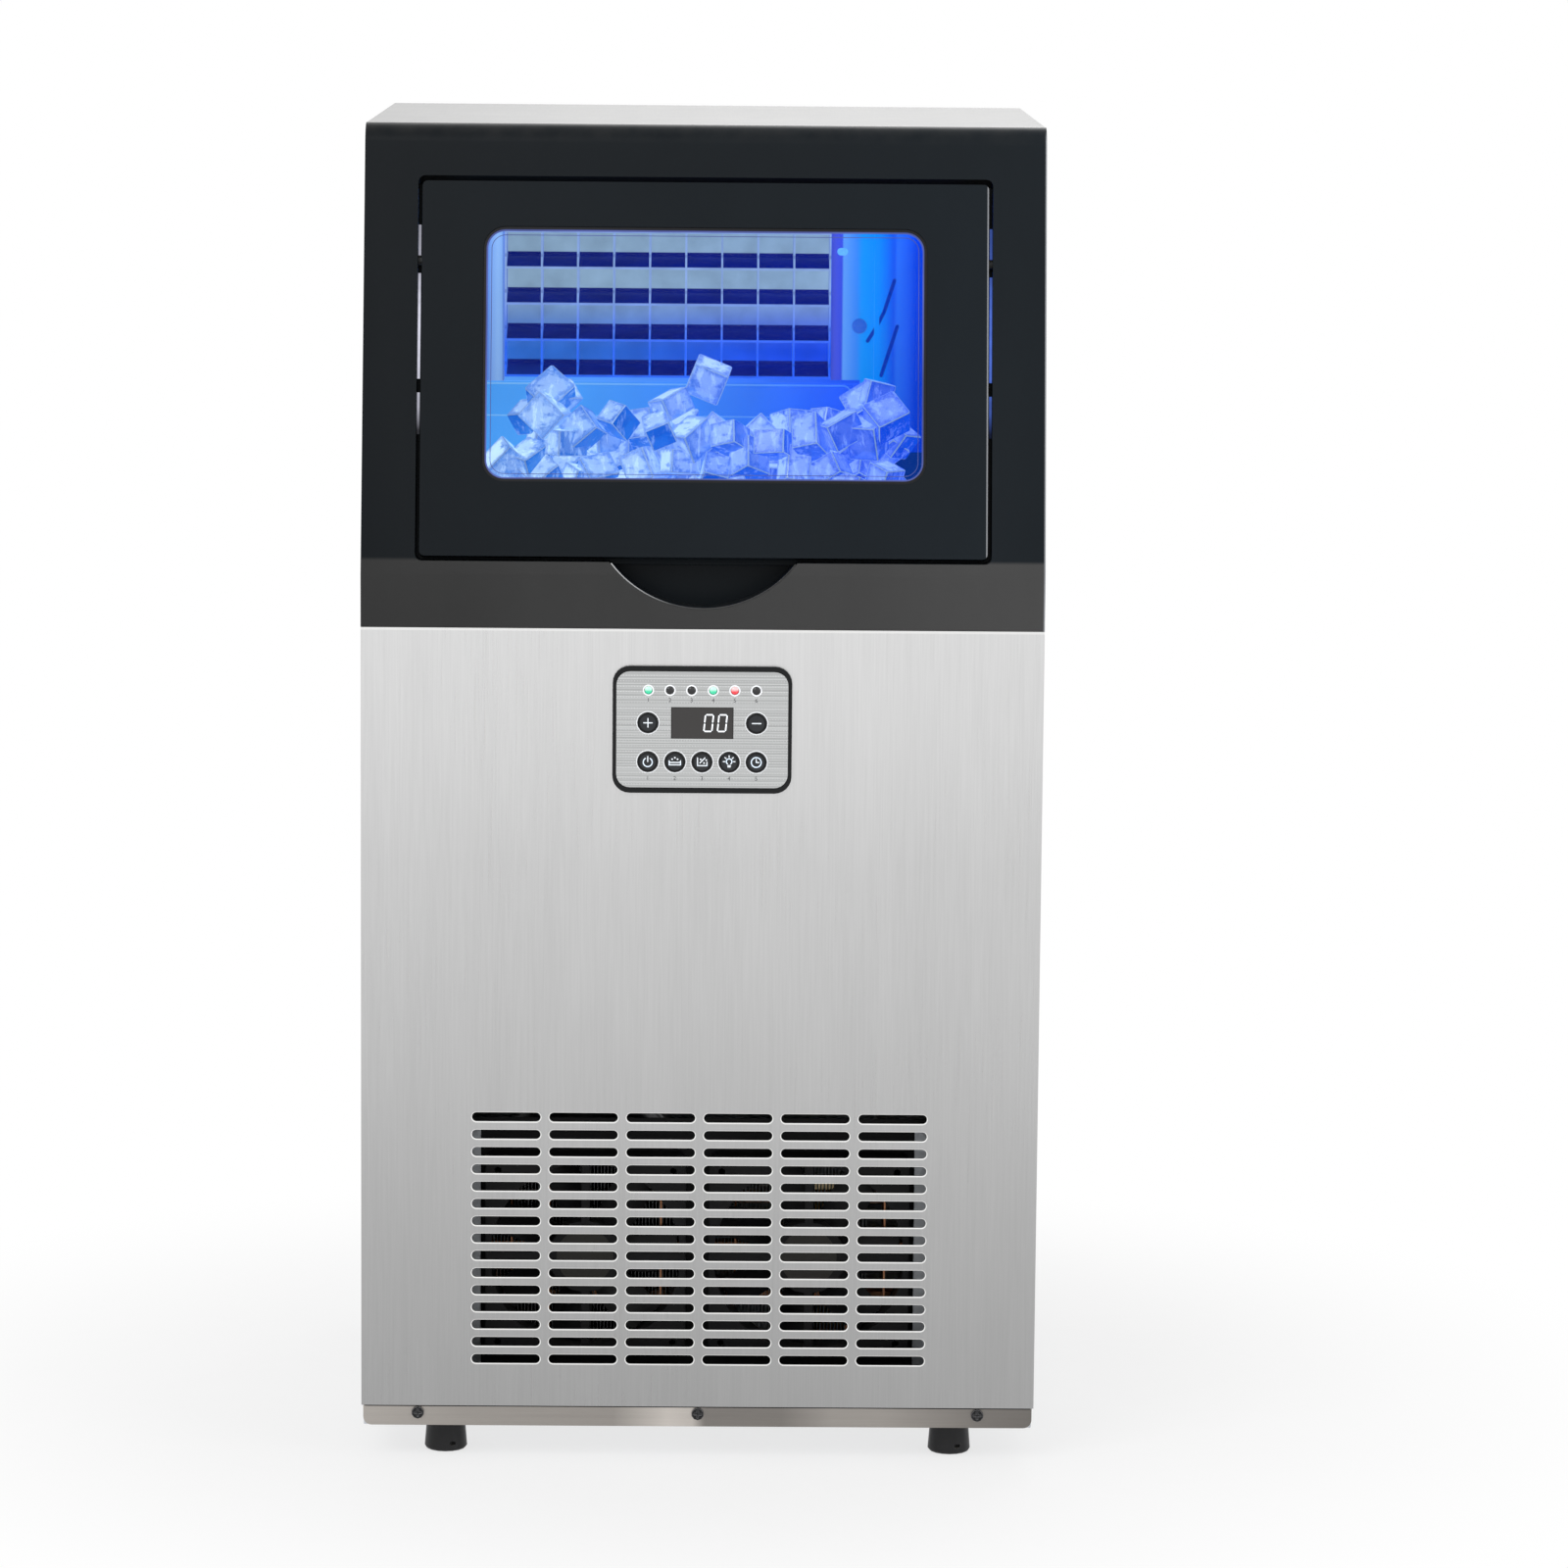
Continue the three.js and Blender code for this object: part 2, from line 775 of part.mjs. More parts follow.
function doorFrame() {
  const back = doorFace + doorThickness;
  const skinBack = doorFace + doorSkin;
  const w = windowWidth / 2;
  const ring = w + paneRim;
  const rim = doorRim;
  const outer = roundedOutline(-doorHalf, doorHalf, doorLow, doorHigh, doorCorner);
  const inner = roundedOutline(
    -doorHalf + rim, doorHalf - rim, doorLow + rim, doorHigh - rim, doorCorner,
  );
  const glazing = roundedOutline(
    -ring - rim, ring + rim, windowLow - paneRim - rim, windowHigh + paneRim + rim, windowCorner + rim,
  );
  const seat = roundedOutline(
    -ring, ring, windowLow - paneRim, windowHigh + paneRim, windowCorner + paneRim,
  );
  const window = roundedOutline(-w, w, windowLow, windowHigh, windowCorner);
  const hollow = cut(
    frontSlab(inner, skinBack, back + overrun, cornerSteps),
    frontSlab(glazing, skinBack - overrun, back + overrun, windowSteps),
  );
  const bosses = [-1, 1].map((side) => {
    const ends = [side * doorHalf, side * (doorHalf - hingeBossLength)].sort((a, b) => a - b);
    return bar('x', hingeBoss, ...ends, 0, 0, smallSides);
  });
  const bores = [-1, 1].map((side) => {
    const ends = [side * (doorHalf + overrun), side * (doorHalf - pinReach)].sort((a, b) => a - b);
    return bar('x', pinRadius + gap, ...ends, 0, 0, smallSides);
  });
  return cut(
    join(cut(frontSlab(outer, doorFace, back, cornerSteps), hollow), ...bosses),
    frontSlab(seat, skinBack, back + overrun, windowSteps),
    frontSlab(window, doorFace - overrun, back, windowSteps),
    ...bores,
  );
}

function doorWindow() {
  const w = windowWidth / 2 + paneRim - gap;
  const front = doorFace + doorSkin + gap;
  const edge = paneRim - gap;
  const pane = roundedOutline(-w, w, windowLow - edge, windowHigh + edge, windowCorner + edge);
  return frontSlab(pane, front, front + paneThickness, windowSteps);
}

// Hinge pin, from the bottom of the door's bore out through the fascia's collar
function doorPin(side) {
  const inside = side * (doorHalf - pinReach + gap);
  const outside = side * (openingWidth / 2 + fasciaWall);
  return bar('x', pinRadius, Math.min(inside, outside), Math.max(inside, outside), 0, 0, smallSides);
}

// Bin, tray and lines that pass through the deck
const binBottom = deckTop + gap;
const binTop = height - lidFold - gap;
const binBack = backY - binRearSpace;
const binFloor = binBottom + binWall;
const binCeiling = binTop - binWall;
const binInside = innerHalfWidth - binWall;
const trayWidth = trayColumns * cellPitch + trayWall;
const traySides = flapLug + framePost + troughReach + 2 * gap;
const trayLeft = -binInside + trayPlaceShare * (2 * binInside - trayWidth - traySides)
  + flapLug + framePost + 2 * gap;
const trayRight = trayLeft + trayWidth;
const drainX = drainOffset;
const drainY = binBack - drainInset;
const suctionX = trayRight - hoseRadius;
const suctionY = backY - lineInset;
const lineHole = lineRadius + holeMargin;

// Control panel
const bezelLevel = jointLevel - bezelDrop;
const plateWidth = bezelWidth - 2 * bezelRimSide;
const plateHeight = bezelHeight - 2 * bezelRimEnd;
const bezelBack = frontY - gap;
const plateFace = frontY - bezelProud + gap;
const plateBack = plateFace + plateThickness;
const sleeveHalfWidth = bezelWidth / 2 - bezelLip;
const sleeveHalfHeight = bezelHeight / 2 - bezelLip;
const sleeveCorner = bezelCorner - bezelLip;
const boardFront = frontY + bezelSleeve + gap;

function around(halfX, halfZ, corner) {
  return roundedOutline(-halfX, halfX, bezelLevel - halfZ, bezelLevel + halfZ, corner);
}

function controlBezel() {
  const lip = around(bezelWidth / 2, bezelHeight / 2, bezelCorner);
  const sleeve = around(sleeveHalfWidth, sleeveHalfHeight, sleeveCorner);
  const inside = around(sleeveHalfWidth - bezelWall, sleeveHalfHeight - bezelWall, sleeveCorner);
  const seat = around(plateWidth / 2 + gap, plateHeight / 2 + gap, plateCorner);
  return cut(
    join(
      frontSlab(lip, frontY - bezelProud, bezelBack),
      frontSlab(sleeve, frontY - bezelProud, frontY + bezelSleeve),
    ),
    frontSlab(seat, frontY - bezelProud - overrun, plateBack + gap),
    frontSlab(inside, frontY - bezelProud - overrun, frontY + bezelSleeve + overrun),
  );
}

function buttonPlaces() {
  const top = bezelLevel + buttonTopRise;
  const bottom = bezelLevel - buttonRowDrop;
  return [
    ['button_plus', -2 * buttonPitch, top],
    ['button_minus', 2 * buttonPitch, top],
    ['button_power', -2 * buttonPitch, bottom],
    ['button_rinse', -buttonPitch, bottom],
    ['button_harvest', 0, bottom],
    ['button_light', buttonPitch, bottom],
    ['button_timer', 2 * buttonPitch, bottom],
  ];
}

function lampPlaces() {
  const places = [];
  for (let i = 0; i < lampCount; i += 1) {
    places.push([`indicator_${i + 1}`, (i - (lampCount - 1) / 2) * lampPitch, bezelLevel + lampRise]);
  }
  return places;
}

function controlPlate() {
  const w = displayWidth / 2 + gap;
  const h = displayHeight / 2 + gap;
  const displayLevel = bezelLevel + buttonTopRise;
  const holes = [
    ...buttonPlaces().map(([, x, z]) => bar(
      'y', buttonRadius + gap, plateFace - overrun, plateBack + overrun, x, z,
    )),
    ...lampPlaces().map(([, x, z]) => bar(
      'y', lampRadius + gap, plateFace - overrun, plateBack + overrun, x, z, smallSides,
    )),
    block(-w, w, plateFace - overrun, plateBack + overrun, displayLevel - h, displayLevel + h),
  ];
  const plate = around(plateWidth / 2, plateHeight / 2, plateCorner);
  return cut(frontSlab(plate, plateFace, plateBack), ...holes);
}

// Push button at its own origin on the plate's face: a cap, and a flange that the plate holds back
function button() {
  const flangeFront = plateThickness + gap;
  const back = boardFront - buttonTravel - gap - plateFace;
  return join(
    bar('y', buttonRadius, -buttonProud, back, 0, 0),
    bar('y', buttonRadius + buttonFlange, flangeFront, flangeFront + buttonFlangeThickness, 0, 0),
  );
}

// Indicator lens, from its domed tip on the plate back to the board
function lamp() {
  const back = boardFront - gap - plateFace;
  const dome = new THREE.SphereGeometry(lampRadius, smallSides, smallSides / 2);
  dome.rotateX(Math.PI / 2);
  dome.scale(1, lampProud / lampRadius, 1);
  return join(solidOf(dome), bar('y', lampRadius, 0, back, 0, 0, smallSides));
}

function displayWindow() {
  const level = bezelLevel + buttonTopRise;
  const w = displayWidth / 2;
  const h = displayHeight / 2;
  return block(-w, w, plateFace, plateFace + displayThickness, level - h, level + h);
}

function controlBoard() {
  const level = bezelLevel + buttonTopRise;
  const w = displayWidth / 2;
  const h = displayHeight / 2;
  const moduleFront = plateFace + displayThickness + gap;
  const boardBack = boardFront + boardThickness;
  const board = around(sleeveHalfWidth, sleeveHalfHeight, sleeveCorner);
  return join(
    frontSlab(board, boardFront, boardBack),
    block(-w, w, moduleFront, boardBack, level - h, level + h),
    block(-w, w, boardFront, boardBack + displayModule, bezelLevel - 2 * h, bezelLevel - h),
  );
}

const fanBore = fanSize / 2 - fanRim;
const fanSpread = (fanSize + fanSpacing) / 2;
const fanLevel = panFloor + fanRise + fanSize / 2;

// Fan at its own origin: frame, motor base in front, struts and the fixed axle
function fanFrame() {
  const half = fanSize / 2;
  const hole = half - fanScrewInset;
  const corners = [[-hole, -hole], [hole, -hole], [hole, hole], [-hole, hole]];
  const strut = strutWidth / 2;
  const ring = cut(
    frontSlab(roundedOutline(-half, half, -half, half, fanCorner), 0, fanThickness),
    bar('y', fanBore, -overrun, fanThickness + overrun, 0, 0, largeSides),
    ...corners.map(([x, z]) => bar(
      'y', fanScrewRadius, -overrun, fanThickness + overrun, x, z, tubeSides,
    )),
  );
  return join(
    ring,
    bar('y', hubRadius, 0, motorBase, 0, 0),
    block(-fanBore - strut, fanBore + strut, 0, motorBase - gap, -strut, strut),
    block(-strut, strut, 0, motorBase - gap, -fanBore - strut, fanBore + strut),
    bar('y', axleRadius, 0, motorBase + hubLength, 0, 0, smallSides),
  );
}

// Rotor: a hub with curved blades, turning on the frame's axle
function fanRotor() {
  const start = motorBase + 2 * gap;
  const rim = hubRadius - sheet;
  const bladeLength = fanBore - bladeClearance - rim + sheet;
  const face = (offset) => bladeCamberShares.map(([a, b]) => [a * bladeChord, b * bladeCamber + offset]);
  const section = outline([...face(-bladeThickness / 2).reverse(), ...face(bladeThickness / 2)]);
  let rotor = bar('y', rim, start, start + hubLength, 0, 0);
  for (let i = 0; i < bladeCount; i += 1) {
    const blade = new THREE.ExtrudeGeometry(section, { depth: bladeLength, bevelEnabled: false });
    blade.translate(0, -bladeCamber / 2, rim - sheet);
    blade.rotateZ(THREE.MathUtils.degToRad(bladePitchDegrees));
    blade.rotateY((2 * Math.PI * i) / bladeCount);
    blade.translate(0, (motorBase + fanThickness) / 2, 0);
    rotor = rotor.add(solidOf(blade));
  }
  const end = start + hubLength;
  return cut(rotor, bar('y', axleRadius + gap, start - overrun, end + overrun, 0, 0, smallSides));
}

function fanPlaces() {
  return [
    ['left', fanOffset - fanSpread],
    ['right', fanOffset + fanSpread],
  ];
}

const fanFront = frontY + fanSetback;
const fanPlateFront = fanFront + fanThickness + gap;
const condenserFront = fanPlateFront + sheet + gap;
const condenserBase = panFloor + gap;

// Galvanised plate that carries the fans, with a foot along the base pan
function fanPlate() {
  const half = fanSpread + fanSize / 2 + fanPlateSide;
  const top = fanLevel + fanSize / 2 + fanPlateTop;
  const x0 = fanOffset - half;
  const x1 = fanOffset + half;
  const back = fanPlateFront + sheet;
  return cut(
    join(
      block(x0, x1, fanPlateFront, back, condenserBase, top),
      block(x0, x1, back - fanPlateFlange, fanPlateFront, condenserBase, condenserBase + sheet),
    ),
    ...fanPlaces().map(([, x]) => bar(
      'y', fanBore, fanPlateFront - overrun, back + overrun, x, fanLevel, largeSides,
    )),
  );
}

const condenserWidth = 2 * (fanSpread + condenserSide) + fanSize;
const condenserLeft = fanOffset - condenserWidth / 2;
const condenserRight = fanOffset + condenserWidth / 2;
const condenserMiddle = condenserFront + condenserDepth / 2;
const condenserBack = condenserFront + condenserDepth;
const condenserEnd = condenserLeft - condenserStub;

function condenserRowLevel(row) {
  return condenserBase + (condenserHeight * (row + 1)) / (condenserRows + 1);
}

// Condenser: two end plates, the fins between them, and one tube that runs to and fro
function condenser() {
  const back = condenserBack;
  const top = condenserBase + condenserHeight;
  const t = endPlateThickness;
  const pitch = condenserWidth / (condenserFins + 1);
  const bend = condenserHeight / (condenserRows + 1) / 2;
  const solids = [
    block(condenserLeft, condenserLeft + t, condenserFront, back, condenserBase, top),
    block(condenserRight - t, condenserRight, condenserFront, back, condenserBase, top),
  ];
  for (let i = 1; i <= condenserFins; i += 1) {
    const x = condenserLeft + i * pitch;
    solids.push(block(x, x + finThickness, condenserFront, back, condenserBase + t, top - t));
  }
  for (let row = 0; row < condenserRows; row += 1) {
    const z = condenserRowLevel(row);
    const first = row === 0 || row === condenserRows - 1;
    const x0 = first ? condenserEnd : condenserLeft - t;
    solids.push(bar('x', condenserTube, x0, condenserRight + t, condenserMiddle, z, tubeSides));
    if (row < condenserRows - 1) {
      const side = row % 2 === 0 ? 1 : -1;
      const x = side > 0 ? condenserRight : condenserLeft;
      solids.push(pipe([
        [x, condenserMiddle, z],
        [x + side * bend * Math.SQRT1_2, condenserMiddle, z + bend * (1 - Math.SQRT1_2)],
        [x + side * bend, condenserMiddle, z + bend],
        [x + side * bend * Math.SQRT1_2, condenserMiddle, z + bend * (1 + Math.SQRT1_2)],
        [x, condenserMiddle, z + 2 * bend],
      ], condenserTube, tubeSides, 2 * arcSteps));
    }
  }
  return join(...solids);
}

// Foamed bin liner with its mouth behind the door opening and a drain in its floor
function iceBin() {
  const half = innerHalfWidth;
  const mouth = openingWidth / 2;
  const bossEnd = binBottom - drainBossLength;
  const wallFront = binBack - binWall;
  return cut(
    join(
      cut(
        block(-half, half, binFront, binBack, binBottom, binTop),
        block(-binInside, binInside, binFront + binLip, wallFront, binFloor, binCeiling),
        block(-mouth, mouth, binFront - overrun, binFront + binLip + overrun, openingBottom, openingTop),
      ),
      bar('z', drainBossRadius, bossEnd, binFloor - gap, drainX, drainY, smallSides),
    ),
    bar('z', drainBore, bossEnd - overrun, binFloor + overrun, drainX, drainY, smallSides),
    bar('y', lineHole, wallFront - overrun, binBack + overrun, suctionX, coilTop, smallSides),
  );
}

function lightStrip() {
  const y = frontY + lightSetback;
  const top = binCeiling - gap;
  const half = binInside - lightSide;
  return block(-half, half, y, y + lightWidth, top - lightThickness, top);
}

// Freezing tray: open cells with floors that slope forward, so that the ice slides out
const trayFront = frontY + traySetback;
const trayTop = binCeiling - trayHeadroom;
const trayLevel = trayTop - trayRows * cellPitch - trayWall;
const coilTop = trayLevel + trayFloorRise + (trayRows - 0.5) * cellPitch;

function evaporatorTray() {
  const back = trayFront + trayDepth;
  const rise = trayFloorRise;
  const body = sideSlab(outline([
    [trayFront, trayLevel],
    [back, trayLevel + rise],
    [back, trayTop + rise],
    [trayFront, trayTop],
  ]), trayLeft, trayRight);
  const slope = rise / trayDepth;
  const cellFront = trayFront - overrun;
  const cellBack = back - trayWall;
  const cells = [];
  for (let column = 0; column < trayColumns; column += 1) {
    const x0 = trayLeft + trayWall + column * cellPitch;
    const x1 = x0 + cellPitch - trayWall;
    for (let row = 0; row < trayRows; row += 1) {
      const z0 = trayLevel + trayWall + row * cellPitch;
      const z1 = z0 + cellPitch - trayWall;
      cells.push(sideSlab(outline([
        [cellFront, z0 - overrun * slope],
        [cellBack, z0 + (trayDepth - trayWall) * slope],
        [cellBack, z1 + (trayDepth - trayWall) * slope],
        [cellFront, z1 - overrun * slope],
      ]), x0, x1));
    }
  }
  return cut(body, ...cells);
}

// Refrigerant coil on the back of the tray, ending in a lead towards the rear
const coilEnd = trayFront + trayDepth + gap + coilLead + 3 * coilRadius;

function evaporatorCoil() {
  const y = trayFront + trayDepth + gap + coilRadius;
  const bend = cellPitch / 2;
  const x0 = trayLeft + coilLead + 2 * coilRadius;
  const x1 = suctionX - coilLead;
  const points = [];
  const turnBack = (x, z, from) => {
    for (let step = 0; step <= arcSteps; step += 1) {
      const angle = from + ((Math.PI / 2) * step) / arcSteps;
      points.push([x + coilLead * Math.cos(angle), y + coilLead + coilLead * Math.sin(angle), z]);
    }
  };
  turnBack(x0, coilTop - (trayRows - 1) * cellPitch, Math.PI);
  for (let row = 0; row < trayRows; row += 1) {
    const z = coilTop - (trayRows - 1 - row) * cellPitch;
    const [a, b] = row % 2 === 0 ? [x0, x1] : [x1, x0];
    if (row > 0) points.push([a, y, z]);
    points.push([(a + b) / 2, y, z]);
    if (row < trayRows - 1) {
      const side = b > a ? 1 : -1;
      points.push([b, y, z], [b + side * bend, y, z + bend]);
    }
  }
  turnBack(x1, coilTop, 1.5 * Math.PI);
  points.push([suctionX, coilEnd, coilTop]);
  return pipe(points, coilRadius, tubeSides, coilSteps);
}

// Moulded frame round the tray: left post, ribbed right cover, top bar and left wing
const frameFront = trayFront - frameProud;
const frameBack = frameFront + frameDepth;
const frameTop = binCeiling - gap;
const postRight = trayLeft - gap;
const postLeft = postRight - framePost;
const coverLeft = trayRight + gap;
const frameEnd = binInside - gap;
const troughTop = trayLevel - gap - troughWall;
const troughFront = frameFront + frameSkin + gap;

function trayFrame() {
  const ribs = [];
  const skinBack = frameFront + frameSkin;
  for (let x = coverLeft + coverRibPitch; x < frameEnd - coverRib; x += coverRibPitch) {
    ribs.push(block(x, x + coverRib, frameFront - coverRib, skinBack, trayLevel, frameTop));
  }
  return join(
    block(postLeft, postRight, frameFront, frameBack, troughTop + gap, frameTop),
    block(coverLeft, frameEnd, frameFront, skinBack, trayLevel, frameTop),
    block(coverFoot, frameEnd, frameFront, skinBack, trayLevel - frameCoverDrop, trayLevel),
    block(postLeft, frameEnd, frameBack - trayDepth, frameBack, frameTop - frameBar, frameTop),
    block(-frameEnd, postLeft + frameWing, frameBack - frameWing, frameBack, trayLevel, frameTop),
    block(frameEnd - frameWing, frameEnd, frameFront, frameBack, frameTop - frameBar, frameTop),
    ...ribs,
  );
}

// Water trough under the tray, with lugs and pins that the flap hangs on
const flapLeft = postLeft;
const flapRight = flapLeft + flapWidth;
const flapAxisY = troughFront - gap - flapBarrel;
const flapAxisZ = troughTop - flapBarrel;
const coverFoot = flapRight + flapLug + 2 * gap;

function waterTrough() {
  const bottom = troughTop - troughHeight;
  const back = troughFront + troughDepth;
  const x0 = postLeft;
  const x1 = trayRight + troughReach;
  const w = troughWall;
  const lugs = [[flapLeft - gap, -1], [flapRight + gap, 1]].map(([x, side]) => {
    const ends = [x, x + side * flapLug].sort((a, b) => a - b);
    const pin = [x + side * gap, x - side * flapPinReach].sort((a, b) => a - b);
    return join(
      block(...ends, flapAxisY - flapBarrel, troughFront + w, flapAxisZ - flapBarrel, troughTop),
      bar('x', flapPin, ...pin, flapAxisY, flapAxisZ, smallSides),
    );
  });
  const corner = [flapLeft - gap - flapLug, x0 + w];
  return join(
    cut(
      block(x0, x1, troughFront, back, bottom, troughTop),
      block(x0 + w, x1 - w, troughFront + w, back - w, bottom + w, troughTop + overrun),
    ),
    block(...corner, troughFront, troughFront + w, flapAxisZ - flapBarrel, troughTop),
    ...lugs,
  );
}

// Ice-full flap at its own origin on its hinge axis
function iceFlap() {
  const span = [0, flapWidth];
  const r = flapCorner;
  const low = -flapHeight;
  const shape = new THREE.Shape();
  shape.moveTo(0, low);
  shape.lineTo(flapWidth - r, low);
  shape.absarc(flapWidth - r, low + r, r, -Math.PI / 2, 0, false);
  shape.lineTo(flapWidth, 0);
  shape.lineTo(0, 0);
  const face = -flapBarrel;
  const ridge = flapThickness / 2;
  return cut(
    join(
      frontSlab(shape, face, face + flapThickness),
      bar('x', flapBarrel, ...span, 0, 0, smallSides),
      block(0, flapWidth - r, face - ridge, face + ridge, -flapRidge - flapThickness, -flapRidge),
    ),
    bar('x', flapPin + gap, -overrun, flapWidth + overrun, 0, 0, smallSides),
  );
}

const pumpX = trayRight + troughReach - pumpInset;
const pumpY = troughFront + troughDepth / 2;
const pumpBottom = troughTop - troughHeight + troughWall + gap;
const pumpTop = pumpBottom + pumpHeight;

function waterPump() {
  return turned([
    [0, pumpBottom],
    [pumpRadius, pumpBottom],
    [pumpRadius, pumpBottom + troughHeight],
    [pumpNeck, pumpBottom + troughHeight],
    [pumpNeck, pumpTop - troughHeight],
    [pumpRadius, pumpTop - troughHeight],
    [pumpRadius, pumpTop - spreaderRadius],
    [spreaderRadius, pumpTop - spreaderRadius],
    [spreaderRadius, pumpTop],
    [0, pumpTop],
  ], pumpX, pumpY);
}

// Water spreader along the top of the tray, with its riser from the pump
function waterSpreader() {
  const r = spreaderRadius;
  const y = trayFront + r + gap;
  const z = trayTop + gap + r + (trayFloorRise * 2 * r) / trayDepth;
  return pipe([
    [trayLeft + r, y, z],
    [(trayLeft + trayRight) / 2, y, z],
    [trayRight, y, z],
    [trayRight + 4 * r, y, z],
    [pumpX - r, y + r, z - 2 * r],
    [pumpX, pumpY, pumpTop + 4 * r],
    [pumpX, pumpY, pumpTop + 2 * r],
    [pumpX, pumpY, pumpTop + gap],
  ], r, hoseSides, spreaderSteps);
}

// Compressor: shell, foot plate, grommets, terminal cover and its brazed lines
const inletFront = backY - recessDepth - sheet - gap - inletBodyLength;
const compressorRoom = inletFront - condenserBack - 2 * compressorRadius;
const compressorX = compressorInset - innerHalfWidth;
const compressorY = condenserBack + compressorPlaceShare * compressorRoom + compressorRadius;
const compressorBase = panFloor + gap + grommetHeight;
const compressorTop = compressorBase + compressorHeight;
const suctionPort = compressorY + compressorRadius / 2;

function compressor() {
  const x = compressorX;
  const y = compressorY;
  const profile = compressorShares.map(([a, b]) => [
    a * compressorRadius,
    compressorBase + b * compressorHeight,
  ]);
  const footX = compressorFootLength / 2;
  const footY = compressorFootWidth / 2;
  const plateTop = compressorBase + compressorFootThickness;
  const insetX = footX - grommetRadius;
  const insetY = footY - grommetRadius;
  const grommets = [[-1, -1], [1, -1], [1, 1], [-1, 1]].map(([a, b]) => bar(
    'z', grommetRadius, panFloor + gap, plateTop, x + a * insetX, y + b * insetY, smallSides,
  ));
  const inlet = condenserRowLevel(condenserRows - 1);
  const end = condenserEnd - gap;
  const shellSide = x - compressorRadius / 2;
  const portLow = compressorTop - compressorHeight / 4;
  return join(
    turned(profile, x, y, largeSides),
    block(x - footX, x + footX, y - footY, y + footY, compressorBase, plateTop),
    ...grommets,
    block(
      x + compressorRadius - terminalDepth / 2,
      x + compressorRadius + terminalDepth / 2,
      y - terminalWidth / 2,
      y + terminalWidth / 2,
      compressorBase + terminalHeight / 2,
      compressorBase + 1.5 * terminalHeight,
    ),
    bar('z', lineRadius, portLow, compressorTop + lineStub, x, suctionPort, hoseSides),
    pipe([
      [shellSide, y, inlet],
      [shellSide - compressorRadius, y, inlet],
      [end - lineStub, condenserBack, inlet],
      [end - lineStub, condenserMiddle + lineStub, inlet],
      [end - lineStub / 2, condenserMiddle, inlet],
      [end, condenserMiddle, inlet],
    ], condenserTube, tubeSides, dischargeSteps),
  );
}

// Filter drier on the condenser's lower outlet
function filterDrier() {
  const outlet = condenserRowLevel(0);
  const x = drierInset - innerHalfWidth;
  const end = condenserEnd - gap;
  const y0 = condenserBack + 2 * lineStub;
  const y1 = y0 + drierLength;
  return join(
    pipe([
      [end, condenserMiddle, outlet],
      [end - lineStub / 2, condenserMiddle, outlet],
      [end - lineStub, condenserMiddle + lineStub, outlet],
      [end - lineStub, condenserBack, outlet],
      [x, y0, outlet],
      [x, y0 + drierRadius, outlet],
    ], condenserTube, tubeSides, drierSteps),
    bar('y', drierRadius, y0, y1, x, outlet, smallSides),
    bar('y', condenserTube, y1 - overrun, y1 + lineStub, x, outlet, tubeSides),
  );
}

// Hot-gas valve: brass body and coil on a bracket that stands on the base pan
function hotGasValve() {
  const x = valveOffset;
  const y = frontY + valveSetback;
  const w = valveWidth / 2;
  const d = valveDepth / 2;
  const z0 = panFloor + gap;
  const z1 = z0 + valveStand;
  const middle = z1 + valveBodyHeight / 2;
  return join(
    block(x - w, x + w, y + d, y + d + valveDepth, z0, z0 + bracketThickness),
    block(x - w, x + w, y + d - bracketThickness, y + d, z0, z1 + valveBodyHeight),
    bar('x', valveBodyHeight / 2, x - w, x + w, y, middle, smallSides),
    bar('x', lineRadius, x - w - lineStub, x + w + lineStub, y, middle, hoseSides),
    block(x - w, x + w, y - d, y + d, middle, middle + valveCoilHeight),
    block(x - w, x + w, y, y + d, z1, middle),
  );
}

// Suction line from the tray's coil, through the bin's rear wall and the deck, to the compressor
function suctionLine() {
  const y0 = coilEnd + gap;
  const r = lineRadius;
  const far = binBack - r;
  const topEnd = compressorTop + lineStub + gap;
  return pipe([
    [suctionX, y0, coilTop],
    [suctionX, (y0 + far) / 2, coilTop],
    [suctionX, far, coilTop],
    [suctionX, suctionY, coilTop - 4 * r],
    [suctionX, suctionY, (coilTop + deckTop) / 2],
    [suctionX, suctionY, deckTop],
    [suctionX, suctionY, deckTop - 2 * deckFlange],
    [(suctionX + compressorX) / 2, (suctionY + suctionPort) / 2, (deckTop + topEnd) / 2],
    [compressorX, suctionPort, topEnd + 4 * lineStub],
    [compressorX, suctionPort, topEnd + lineStub],
    [compressorX, suctionPort, topEnd],
  ], r, tubeSides, suctionSteps);
}

// Fittings in the rear recess: each has a flange inside the recess and a stem through its floor
const recessFloor = backY - recessDepth;
const fittingLevel = recessLevel + recessHeight / 2;

function fittingPlaces() {
  return [
    ['inlet_valve', -fittingPitch, inletRadius],
    ['cable_gland', 0, glandRadius],
    ['drain_spigot', fittingPitch, spigotRadius],
  ];
}

function fittingHoles() {
  return fittingPlaces().map(([, x, radius]) => bar(
    'y', radius + gap, recessFloor - sheet - overrun, recessFloor + overrun, x, fittingLevel,
  ));
}

// A stem with its bore and flange; y is zero on the recess floor, and the outside is towards +Y
function fitting(radius, bore, reach, inside) {
  return cut(
    join(
      bar('y', radius, -sheet - gap - fittingThickness, reach, 0, 0),
      bar('y', radius + fittingFlange, gap, gap + fittingThickness, 0, 0),
      inside,
    ),
    bar('y', bore, 0, reach + overrun, 0, 0, smallSides),
  );
}

